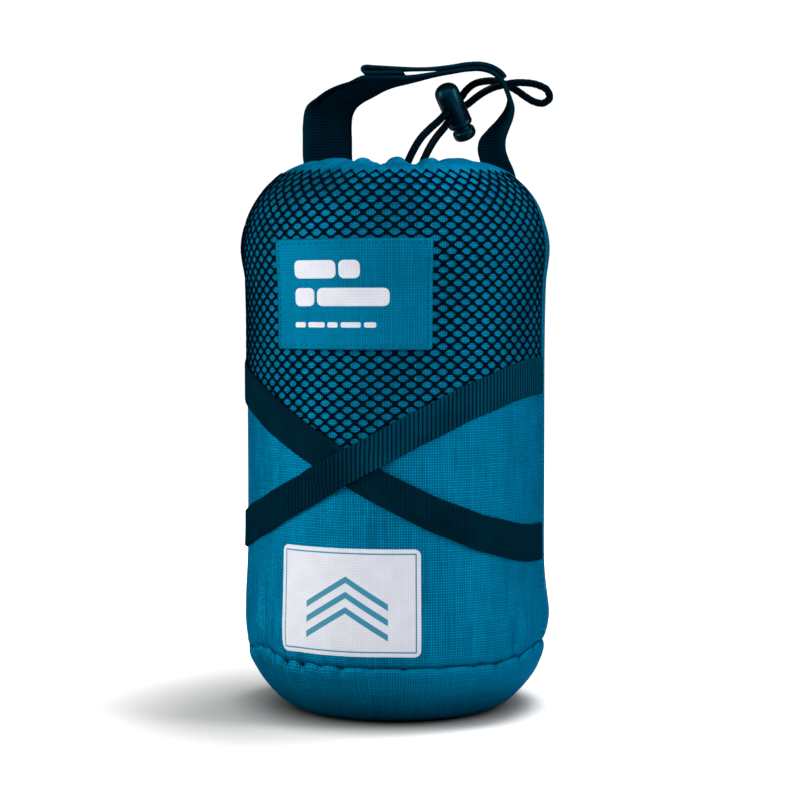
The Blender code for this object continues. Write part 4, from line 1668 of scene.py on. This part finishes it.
@dataclass
class CarryHandle:
    """Carry handle over the mouth and the second ply sewn on its top.

    Attributes:
        wall: The sack's surface.
        feet: Heights of a foot's stations on the wall.
        left_foot: Angle of the left foot from the front.
        right_foot: Angle of the right foot.
        foot_bow: Bow of the strap's edges round the sack.
        foot_lift: Middle of a foot off the cloth.
        curl: Curl of the left edge, as the ribbon takes it.
        table: Rows of (along, behind, height, face, tip) of the handle between its feet. Face is
            the way of the width from along towards behind, and tip its climb.
        ply_under: The same of the ply's end that is folded under.
        ply_free: The same of the ply from its fold to where it lies on the handle.
        fold_centre: The same of the fold's middle.
        fold_radius: Radius of the fold.
        fold_steps: Steps round the fold.
        ply_first: First row of the table that the ply lies on.
        ply_last: Last row.
        ply_step: Distance from the handle's middle to the ply's.
        ply_past: Share of a row by which the ply goes on past the last one.
    """

    wall: Wall
    feet: tuple[float, ...] = (244.0, 248.5, 253.0, 257.0, 261.0)
    left_foot: float = -134.0
    right_foot: float = 142.5
    foot_bow: float = 1.3
    foot_lift: float = 1.75
    curl: tuple[float, float, float] = (70.0, 96.0, -23.0)
    table: Table = (
        (-35.7, 60.4, 269.4, 24, 0),
        (-35.9, 56.6, 277.0, 18, 0), (-37.1, 53.4, 285.8, 11, 0), (-37.2, 52.5, 296.0, 11, 0),
        (-37.2, 51.9, 304.0, 14, -1), (-36.3, 50.3, 310.4, 17, -4), (-33.6, 47.0, 315.1, 25, -8),
        (-28.5, 42.8, 319.0, 36, -12), (-20.6, 38.0, 322.3, 49, -14), (-12.6, 33.6, 324.4, 61, -10),
        (-5.0, 30.8, 325.2, 71, -5), (2.2, 29.7, 325.6, 79, -1), (10.0, 29.5, 326.6, 84, 2),
        (19.0, 30.0, 328.4, 87, 4), (29.1, 31.0, 330.2, 88, 5), (38.5, 32.3, 331.8, 88, 5),
        (45.6, 33.3, 332.0, 88, 5), (50.8, 34.2, 330.6, 88, 5), (54.8, 34.6, 327.9, 88, 5),
        (57.4, 34.9, 324.4, 88, 5), (59.2, 35.1, 320.3, 88, 5), (60.6, 35.3, 316.2, 89, 5),
        (60.6, 35.8, 311.6, 95, 4), (58.2, 36.6, 305.8, 103, 3), (54.4, 37.4, 300.0, 111, 3),
        (51.6, 38.2, 294.9, 117, 3), (51.2, 39.0, 289.9, 119, 3), (52.7, 40.0, 284.3, 120, 2),
        (54.9, 40.9, 278.6, 122, 1), (56.2, 41.0, 273.0, 124, 0),
    )
    ply_under: Table = (
        (4.6, 29.8, 328.5, 85, 1), (-1.5, 29.6, 328.0, 84, -2), (-7.5, 29.4, 327.7, 82, -3),
    )
    ply_free: Table = (
        (-9.6, 29.4, 330.7, 81, -2), (-3.2, 29.6, 331.2, 84, 2), (4.8, 29.8, 331.4, 86, 5),
        (11.7, 30.0, 331.4, 87, 6), (18.6, 30.3, 331.6, 87, 6), (24.4, 30.6, 332.0, 88, 5),
    )
    fold_centre: tuple[float, ...] = (-14.2, 29.3, 329.1, 80, -4)
    fold_radius: float = 1.3
    fold_steps: int = 6
    ply_first: int = 14
    ply_last: int = 18
    ply_step: float = 2.4
    ply_past: float = 0.62

    def foot(self, angle: float, rising: bool) -> Array:
        """Stations of a foot sewn flat on the shoulder.

        Args:
            angle: Its angle from the front.
            rising: Whether the handle starts there.

        Returns:
            The stations in the handle's order.
        """
        turn = math.radians(angle)
        way = np.array((math.cos(turn), math.sin(turn), 0.0)) * (-1.0 if rising else 1.0)
        count = len(self.feet)
        bows = self.foot_bow * (1.0 - 0.5 * smooth(np.linspace(0.0, 1.0, count)))
        rows = np.column_stack((self.wall.on(angle, np.array(self.feet), self.foot_lift),
                                np.tile(way, (count, 1)), bows))
        return rows if rising else rows[::-1]

    def stations(self) -> Array:
        """Stations of the whole handle.

        Returns:
            Rows in its order.
        """
        return np.vstack((self.foot(self.left_foot, True),
                          [handle_station(row) for row in self.table],
                          self.foot(self.right_foot, False)))

    def ply_stations(self) -> Array:
        """Stations of the second ply, its left end folded under.

        Returns:
            Rows from that end on.
        """
        along, behind, height, *ways = self.fold_centre
        fold = []
        for step in range(self.fold_steps + 1):
            swing = math.radians(-90.0 - 180.0 * step / self.fold_steps)
            fold.append((along + self.fold_radius * math.cos(swing), behind,
                         height + self.fold_radius * math.sin(swing), *ways))
        rows = [handle_station(row) for row in (*self.ply_under, *fold, *self.ply_free)]
        carried = [handle_station(row) for row in self.table]
        for index in range(self.ply_first, self.ply_last + 1):
            run = carried[index + 1][:3] - carried[index - 1][:3]
            row = carried[index].copy()
            row[:3] += unit(np.cross(unit(run), row[3:6])) * self.ply_step
            rows.append(row)
        cut_end = rows[-1].copy()
        cut_end[:3] += self.ply_past * (carried[self.ply_last + 1]
                                        - carried[self.ply_last])[:3]
        return np.array(rows + [cut_end])

    def build(self, finish: Material) -> None:
        """Build the handle and its ply.

        Args:
            finish: Their webbing.
        """
        handle = Ribbon("carry_strap", "carry_handle", self.stations(), self.curl)
        handle.build(finish, "sack_body")
        Ribbon("strap_ply", "handle_ply", self.ply_stations()).build(finish, "carry_handle")


@dataclass
class CordLock:
    """Sprung cord lock: a domed barrel with a slot and a push button above it.

    Attributes:
        centre: Middle of its slot, in the handle's axes.
        axis: Way from its dome to its button, in the same.
        strands: Way of the cord through it, in the same.
        sides: Points round it.
        slot_height: Height of the slot's middle above the dome.
        slot_length: Length of the slot.
        slot_width: Its width.
        slot_run: Length of its cutter.
        barrel: Rows of (radius, height) of the barrel, from the button's well to the dome.
        button: The same of the button, from its top down.
    """

    centre: Spot = (31.0, 30.0, 309.8)
    axis: Spot = (0.400, 0.381, -0.833)
    strands: Spot = (0.500, 0.669, 0.551)
    sides: int = 56
    slot_height: float = 15.6
    slot_length: float = 9.6
    slot_width: float = 5.0
    slot_run: float = 16.0
    barrel: Table = (
        (0.02, 20.9), (4.99, 20.9), (5.0, 21.0), (5.0, 24.7), (5.2, 25.0), (5.65, 25.0),
        (5.95, 24.85), (6.4, 24.2), (6.58, 23.8), (6.6, 23.3), (6.6, 22.5), (6.42, 22.3),
        (6.42, 21.7), (6.6, 21.5), (6.6, 8.0), (6.56, 5.6), (6.36, 4.2), (5.9, 3.0),
        (5.2, 2.0), (4.2, 1.15), (3.0, 0.55), (1.6, 0.15), (0.02, 0.0),
    )
    button: Table = (
        (0.02, 33.0), (1.8, 32.97), (3.4, 32.8), (4.5, 32.4), (5.3, 31.8), (5.85, 31.0),
        (6.08, 30.2), (6.1, 29.4), (6.1, 28.3), (6.0, 27.7), (5.75, 27.25), (5.4, 27.0),
        (4.72, 27.0), (4.7, 26.9), (4.7, 22.75), (4.65, 22.7), (0.02, 22.7),
    )

    def shell(self, x: Array, y: Array, z: Array, across: Array | float = 0.0,
              along: Array | float = 0.0) -> Shell:
        """Closed shell through rings given in the lock's own axes, with z up from its dome.

        Args:
            x: First part of the ring points, along the strands.
            y: Second part.
            z: Third part.
            across: Place of each ring point on its finish.
            along: Place of each ring.

        Returns:
            The shell, put in its place.
        """
        z_way = unit(turned(self.axis))
        x_way = turned(self.strands)
        x_way = unit(x_way - z_way * np.dot(x_way, z_way))
        ways = np.array((x_way, np.cross(z_way, x_way), z_way))
        rings = np.stack(np.broadcast_arrays(x, y, z - self.slot_height), axis=-1)
        return tube_shell(rings @ ways + turned(self.centre), across, along)

    def lathe(self, name: str, profile: Table, finish: Material) -> Object:
        """Turn a profile about the lock's axis.

        Args:
            name: Name of the piece.
            profile: Radii and heights.
            finish: Its plastic.

        Returns:
            The piece.
        """
        turn = circle(self.sides)
        radius, height = np.array(profile).T[..., None]
        return self.shell(radius * np.cos(turn), radius * np.sin(turn), height,
                          np.append(turn, 2.0 * math.pi) * 6.0,
                          lengths_along(np.array(profile))).build(name, finish)

    def cutter(self, finish: Material) -> Object:
        """Body of the slot that takes both strands.

        Args:
            finish: The barrel's plastic.

        Returns:
            The cutter.
        """
        outline = rounded_outline(0.5 * self.slot_width, 0.5 * self.slot_length,
                                  0.5 * self.slot_width - 0.01, 40)
        ends = np.array((-0.5, 0.5)) * self.slot_run
        return self.shell(ends[:, None], outline[:, 0], outline[:, 1] + self.slot_height,
                          along=ends).build("slot_cutter", finish)

    def build(self, finish: Material) -> list[Object]:
        """Build the barrel and its button.

        Args:
            finish: Their plastic.

        Returns:
            Both pieces.
        """
        barrel = self.lathe("lock_shell", self.barrel, finish)
        tool = self.cutter(finish)
        cut = barrel.modifiers.new("slot", "BOOLEAN")
        cut.object, cut.solver = tool, "EXACT"
        graph = bpy.context.evaluated_depsgraph_get()
        mesh = bpy.data.meshes.new_from_object(barrel.evaluated_get(graph))
        barrel.modifiers.clear()
        barrel.data = mesh
        bpy.data.objects.remove(tool, do_unlink=True)
        button = self.lathe("lock_cap", self.button, finish)
        for piece in (barrel, button):
            piece.data.set_sharp_from_angle(angle=CREASE_ANGLE)
        place_piece(barrel, Body.SACK, Slot.PLASTIC, "lock_barrel")
        place_piece(button, Body.BUTTON, Slot.PLASTIC, "lock_button")
        return [barrel, button]


# The drawcord's route in the handle's axes, in metres
CORD_ROUTE = (                # (along, behind, height)
    (0.0032, -0.0015, 0.2668), (0.0038, -0.0012, 0.2720), (0.0057, 0.0000, 0.2791),
    (0.0088, 0.0030, 0.2861), (0.0126, 0.0076, 0.2927), (0.0179, 0.0140, 0.2988),
    (0.0229, 0.0202, 0.3037), (0.0264, 0.0241, 0.3076), (0.0301, 0.0291, 0.3117),
    (0.0338, 0.0341, 0.3158), (0.0376, 0.0394, 0.3214), (0.0424, 0.0452, 0.3256),
    (0.0484, 0.0506, 0.3276), (0.0541, 0.0550, 0.3281), (0.0586, 0.0574, 0.3271),
    (0.0625, 0.0582, 0.3253), (0.0664, 0.0586, 0.3231), (0.0708, 0.0587, 0.3200),
    (0.0754, 0.0585, 0.3174), (0.0802, 0.0580, 0.3166), (0.0836, 0.0575, 0.3192),
    (0.0823, 0.0565, 0.3233), (0.0771, 0.0555, 0.3261), (0.0699, 0.0543, 0.3272),
    (0.0632, 0.0533, 0.3269), (0.0584, 0.0527, 0.3259), (0.0537, 0.0516, 0.3246),
    (0.0492, 0.0487, 0.3224), (0.0434, 0.0432, 0.3183), (0.0383, 0.0382, 0.3139),
    (0.0356, 0.0359, 0.3120), (0.0319, 0.0309, 0.3079), (0.0282, 0.0259, 0.3038),
    (0.0252, 0.0208, 0.2996), (0.0210, 0.0126, 0.2940), (0.0170, 0.0052, 0.2872),
    (0.0140, 0.0006, 0.2806), (0.0110, -0.0008, 0.2730), (0.0098, -0.0010, 0.2668),
)


@dataclass
class Drawcord:
    """Braided drawcord: out of the mouth, through the lock, round its loop and back.

    Attributes:
        radius: Its radius.
        step: Length from ring to ring.
        sides: Points round it.
        strands: Strands of the braid in each way round.
        braid_pitch: Length in which a strand moves on by one.
        braid_depth: Depth of the braid.
        tuck: How far each end goes on into the gathered cloth.
    """

    radius: float = 2.0
    step: float = 0.42
    sides: int = 24
    strands: int = 4
    braid_pitch: float = 3.3
    braid_depth: float = 0.16
    tuck: float = 1.4

    def route(self) -> Array:
        """Centre line, from end to end.

        Returns:
            Rows of points.
        """
        points = turned(CORD_ROUTE) / MM
        first = points[0] - unit(points[1] - points[0]) * self.tuck
        last = points[-1] + unit(points[-1] - points[-2]) * self.tuck
        points = np.vstack((first, points, last))
        return through(points, int(lengths_along(points)[-1] / self.step))

    def build(self, finish: Material, carried: list[Object]) -> None:
        """Build the cord.

        Args:
            finish: Its braid.
            carried: Pieces of the lock on it; not used.
        """
        line = self.route()
        run = lengths_along(line)
        way = unit(np.gradient(line, axis=0))
        side = np.zeros_like(line)
        side[0] = unit(np.cross(way[0], (0.0, 1.0, 0.0)))
        for index in range(1, len(line)):
            before = side[index - 1]
            side[index] = unit(before - way[index] * np.dot(before, way[index]))
        turn = circle(self.sides)
        phase = (2.0 * math.pi / self.braid_pitch * run)[:, None]
        proud = 0.5 + 0.5 * np.maximum(np.cos(self.strands * turn + phase),
                                       np.cos(self.strands * turn - phase))
        rings = rings_round(line, side, np.cross(way, side),
                            self.radius + self.braid_depth * (proud - 0.8), turn)
        # The braid's raised strands carry the painted crest highlight, its hollows the darker
        # painted shade.
        cord = tube_shell(rings, np.append(turn, 2.0 * math.pi) * self.radius, run,
                          proud).build("braided_drawcord", finish)
        place_piece(cord, Body.SACK, Slot.CORD, "drawcord")


@dataclass
class Stitching:
    """Sewing thread: rows of short stitches along seams and edges.

    Attributes:
        wall: The sack's surface.
        thread: Half the thread's width.
        stitch: Length of a stitch.
        space: Length between stitches.
        sides: Points round the thread.
        profile: Rows of (share of a stitch, size, height), the last two in half widths.
        seams: Angles of the side seams' stitches.
        seam_span: Heights between which they run.
        strap_ends: Angles of the stitches across the straps' ends.
        inset: Distance of the label's stitches from its edge.
        foot_top: Top of a handle foot off the cloth, in its middle.
        foot_box: Rows of (across, height), the corners sewn on each foot in turn.
    """

    wall: Wall
    thread: float = 0.26
    stitch: float = 2.5
    space: float = 0.9
    sides: int = 6
    profile: Table = (
        (0.0, 0.25, -0.6), (0.12, 0.9, 0.2), (0.5, 1.0, 0.55), (0.88, 0.9, 0.2),
        (1.0, 0.25, -0.6),
    )
    seams: tuple[float, ...] = (-93.8, 93.8)
    seam_span: tuple[float, float] = (34.0, 262.0)
    strap_ends: tuple[float, ...] = (-86.2, -84.8, 84.8, 86.2)
    inset: float = 2.2
    foot_top: float = 2.74
    foot_box: Table = (
        (-9.5, 247.2), (9.5, 247.2), (9.5, 258.0), (-9.5, 258.0), (-9.5, 247.2),
        (9.5, 258.0), (9.5, 247.2), (-9.5, 258.0),
    )

    def row(self, points: Array, normals: Array) -> list[Array]:
        """Rings of each stitch along a line.

        Args:
            points: Points of the line, close together.
            normals: The cloth's outward way at each.

        Returns:
            Rings of points for each stitch.
        """
        run = lengths_along(points)
        pitch = self.stitch + self.space
        shares, sizes, heights = np.array(self.profile).T
        stitches = []
        for index in range(int(run[-1] / pitch)):
            at = 0.5 * self.space + index * pitch + shares * self.stitch
            spot = sampled(at, run, points)
            out = unit(sampled(at, run, normals))
            side = np.cross(unit(np.gradient(spot, axis=0)), out)
            stitches.append(rings_round(spot + out * (heights * self.thread)[:, None], side, out,
                                        (sizes * self.thread)[:, None], circle(self.sides)))
        return stitches

    def on_wall(self, angles: Array | float, heights: Array,
                lift: Array | float) -> list[Array]:
        """Stitches along a line on the wall.

        Args:
            angles: Angles of the line.
            heights: Its heights.
            lift: Its distance off the cloth.

        Returns:
            The stitches' rings.
        """
        points = self.wall.on(angles, heights, lift)
        return self.row(points, self.wall.on(angles, heights, lift + 1.0) - points)

    def build(self, name: str, stitches: list[Array], finish: Material,
              slot: Slot) -> None:
        """Join stitches into one piece.

        Args:
            name: Name of the piece.
            stitches: Their rings.
            finish: The thread's material.
            slot: Material slot.
        """
        across = np.linspace(0.0, 1.6, self.sides + 1)
        along = np.linspace(0.0, self.stitch, len(self.profile))
        shells = [tube_shell(rings, across, along) for rings in stitches]
        faces, corners = [], []
        for index, shell in enumerate(shells):
            shell.face_outwards()
            first, place = index * len(shell.vertices), index * len(shell.places)
            faces += [tuple(i + first for i in face) for face in shell.faces]
            corners += [tuple(i + place for i in corner) for corner in shell.corners]
        points = np.concatenate([shell.vertices for shell in shells])
        places = np.concatenate([shell.places for shell in shells])
        thread = Shell(points, faces, places, corners, np.ones(len(points)))
        place_piece(thread.build(name, finish), Body.SACK, slot)

    def sew(self, label: Label, handle: CarryHandle, cloth_thread: Material,
            strap_thread: Material) -> None:
        """Sew every seam that shows.

        Args:
            label: The patch on the net.
            handle: The carry handle.
            cloth_thread: Thread on the cloth.
            strap_thread: Thread on the straps.
        """
        rows = []
        for angle in self.seams:
            rows += self.on_wall(angle, np.linspace(*self.seam_span, 240), 0.12)
        outline = rounded_outline(0.5 * label.width - self.inset, 0.5 * label.tall - self.inset,
                                  1.0, 400)
        across, up = np.vstack((outline, outline[:1])).T
        rows += self.on_wall(label.angle + across / ARC, label.height + up,
                             label.lift + label.thick + 0.05)
        self.build("cloth_stitches", rows, cloth_thread, Slot.CLOTH)
        rows = []
        for line, other in ((UPPER_LINE, LOWER_LINE), (LOWER_LINE, None)):
            for angle in self.strap_ends:
                at, up, lift = line.spots(angle, np.linspace(-0.86, 0.86, 60), other)
                rows += self.on_wall(at, up, lift + line.thick - 0.02)
        corners = np.array(self.foot_box)
        for angle in (handle.left_foot, handle.right_foot):
            across, up = sampled(np.linspace(0.0, 7.0, 420), np.arange(8.0), corners).T
            curve = 0.5 * (across / 13.6) ** 2 * smooth((up - 246.0) / 12.0)
            rows += self.on_wall(angle + across / ARC, up, self.foot_top + curve)
        self.build("strap_stitches", rows, strap_thread, Slot.WEBBING)


# ---------------------------------------------------------------- studio


@dataclass(frozen=True)
class SoftBox:
    """Soft light.

    Attributes:
        name: Its name.
        place: Its place in the handle's axes, in metres.
        aim: Height that it looks at on the axis, in metres.
        width: Width in metres.
        tall: Height in metres.
        power: Watts.
        colour: Its colour.
    """

    name: str
    place: Spot
    aim: float
    width: float
    tall: float
    power: float
    colour: Colour = (1.0, 1.0, 1.0)

    def build(self) -> None:
        """Add the light."""
        data = bpy.data.lights.new(self.name, "AREA")
        data.shape, data.size, data.size_y = "RECTANGLE", self.width, self.tall
        data.energy, data.color = self.power, self.colour
        thing = linked(bpy.data.objects.new(self.name, data))
        thing.location = turned(self.place).tolist()
        away = thing.location - Vector((0.0, 0.0, self.aim))
        thing.rotation_euler = away.to_track_quat("Z", "Y").to_euler()
        thing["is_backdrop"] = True


@dataclass
class Studio:
    """Pale floor, soft lights, white surround and the camera.

    Attributes:
        distance: Distance of the camera from the sack's axis.
        eye: Its height.
        picture: Width and height of the picture, in its own dots.
        horizon: Row of the horizon in it.
        axis_column: Column of the sack's axis in it.
        focal: Focal length in those dots.
        sensor: Width of the camera's sensor.
        floor_seen: Lightness of the floor to the camera.
        floor_lit: Lightness of the floor to the light that falls on the sack.
        sky_seen: Strength of the surround to the camera.
        sky_lit: Strength of the surround as a light.
        shades: Rows of (along, behind, stretch, near, away, dark), in metres, for each soft shade
            on the floor: its middle, its length along for each length behind, the distances at
            which it starts to fade and ends, and the light left in it.
        boxes: The lights.
    """

    distance: float = 1000.0
    eye: float = 204.0
    picture: float = 800.0
    horizon: float = 310.0
    axis_column: float = 396.0
    focal: float = 1930.0
    sensor: float = 36.0
    floor_seen: float = 0.94
    floor_lit: float = 0.64
    sky_seen: float = 1.05
    sky_lit: float = 0.06
    shades: Table = (
        (0.000, -0.004, 1.02, 0.045, 0.092, 0.055), (-0.068, 0.005, 0.77, 0.020, 0.164, 0.60),
    )
    boxes: tuple[SoftBox, ...] = (
        SoftBox("front_box", (-0.1, -1.6, 1.15), 0.14, 2.0, 1.0, 22.9),
        SoftBox("top_box", (0.46, 0.35, 1.74), 0.0, 0.8, 0.8, 30.0),
        SoftBox("left_box", (-1.0, -0.30, 0.46), 0.16, 0.35, 0.9, 11.8, (1.0, 0.99, 0.93)),
        SoftBox("right_box", (1.0, -0.34, 0.62), 0.20, 0.35, 0.8, 10.2),
    )

    def floor(self) -> None:
        """Add the floor, which goes over into the white surround."""
        mesh = bpy.data.meshes.new("floor")
        mesh.from_pydata([(-9, -9, 0), (9, -9, 0), (9, 9, 0), (-9, 9, 0)], [], [(0, 1, 2, 3)])
        graph = Graph(bpy.data.materials.new("pale_floor"))
        spot = graph.wire("TexCoord", output="Object")
        seen = graph.wire("LightPath", output="Is Camera Ray")
        light = seen * (self.floor_seen - self.floor_lit) + self.floor_lit
        for along, behind, stretch, near, away, dark in self.shades:
            turn = graph.wire("Mapping", {
                "Vector": spot, "Location": tuple(turned((along, behind, 0.0))),
                "Rotation": (0.0, 0.0, math.radians(FRONT_TURN)), "Scale": (stretch, 1.0, 1.0),
            }, vector_type="TEXTURE")
            light = light * turn.length().ramp(near, away, dark)
        graph.set(Base_Color=light, Roughness=0.85, Specular_IOR_Level=0.1,
                  Emission_Color=(1.0, 1.0, 1.0),
                  Emission_Strength=spot.length().ramp(0.16, 0.60) * seen)
        mesh.materials.append(graph.owner)
        linked(bpy.data.objects.new("floor", mesh))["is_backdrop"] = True

    def surround(self) -> None:
        """Set a world that is white to the eye and dimmer as a light."""
        graph = Graph(bpy.data.worlds.new("surround"), "Background")
        seen = graph.wire("LightPath", output="Is Camera Ray")
        graph.set(Color=(1.0, 1.0, 1.0),
                  Strength=seen * (self.sky_seen - self.sky_lit) + self.sky_lit)
        bpy.context.scene.world = graph.owner

    def camera(self) -> None:
        """Set the camera at the photograph's angle."""
        data = bpy.data.cameras.new("camera")
        middle = 0.5 * self.picture
        data.sensor_width = self.sensor
        data.lens = self.sensor * self.focal / self.picture
        data.shift_x = (middle - self.axis_column) / self.picture
        data.clip_end = 30.0
        data.dof.use_dof = False
        thing = linked(bpy.data.objects.new("camera", data))
        thing.location = (turned((0.0, -self.distance, self.eye)) * MM).tolist()
        down = math.atan2(middle - self.horizon, self.focal)
        thing.rotation_euler = (0.5 * math.pi - down, 0.0, math.radians(FRONT_TURN))
        bpy.context.scene.camera = thing
        thing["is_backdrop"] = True

    def build(self) -> None:
        """Set up the whole studio."""
        self.floor()
        self.surround()
        for box in self.boxes:
            box.build()
        self.camera()
        settings = bpy.context.scene.view_settings
        settings.view_transform = "Standard"
        settings.look = "None"


def main(frame_sizes: object) -> None:
    """Build and dress every piece.

    Args:
        frame_sizes: Bounds of the bare frame; not used.
    """
    cloth = RipstopFinish().make()
    calm_cloth = RipstopFinish("calm_ripstop", streaks=0.25).make()
    label_cloth = RipstopFinish("label_ripstop", thread_light=1.34, ground_dark=0.80,
                                streaks=0.35).make()
    # In each yarn finish the second colour is a painted highlight on proud ribs and strands.
    webbing = YarnFinish("ribbed_webbing", (0.0002, 0.0042, 0.0088),
                         (0.0003, 0.0125, 0.0230)).make()
    ribbed = YarnFinish("rib_highlight_webbing", (0.0001, 0.0026, 0.0060),
                        (0.0004, 0.0320, 0.0600)).make()
    yarn = YarnFinish("net_yarn", (0.0002, 0.0014, 0.0034), (0.0003, 0.0040, 0.0090),
                      rows=0.6, columns=0.35).make()
    braid = YarnFinish("cord_braid", (0.0001, 0.0008, 0.0018), (0.0002, 0.0030, 0.0062),
                       rows=0.8, columns=0.4, roughness=0.40, specular=0.010,
                       relief=0.03).make()
    thread = YarnFinish("cloth_thread", (0.0004, 0.040, 0.070), (0.0006, 0.085, 0.140),
                        rows=0.4, columns=0.3).make()
    plastic = PlasticFinish().make()
    badge_print = PrintFinish("badge_print", half_width=36.8, half_height=26.2).make()
    label_print = PrintFinish("label_print").make()
    wall = Wall()
    SackBody(wall).build(cloth)
    BasePanel().build(calm_cloth)
    Netting(wall).build(yarn)
    label = Label(wall)
    label.build(label_cloth, label_print)
    Patch(wall, "badge_print", -1.5, 62.8, 73.6, 52.4, 3.2, 0.03, 0.14,
          rings=24).build(badge_print, Slot.CLOTH)
    CrossStrap(wall, "lower_cross_strap", "cross_strap_lower", LOWER_LINE,
               rib_right=0.05, calm=0.64).build(webbing)
    CrossStrap(wall, "upper_cross_strap", "cross_strap_upper", UPPER_LINE,
               LOWER_LINE).build(ribbed)
    handle = CarryHandle(wall)
    handle.build(webbing)
    lock = CordLock().build(plastic)
    Drawcord().build(braid, lock)
    Stitching(wall).sew(label, handle, thread, webbing)
    Studio().build()


if __name__ == "__main__":
    logging.basicConfig(level=logging.INFO)
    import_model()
    main(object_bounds())
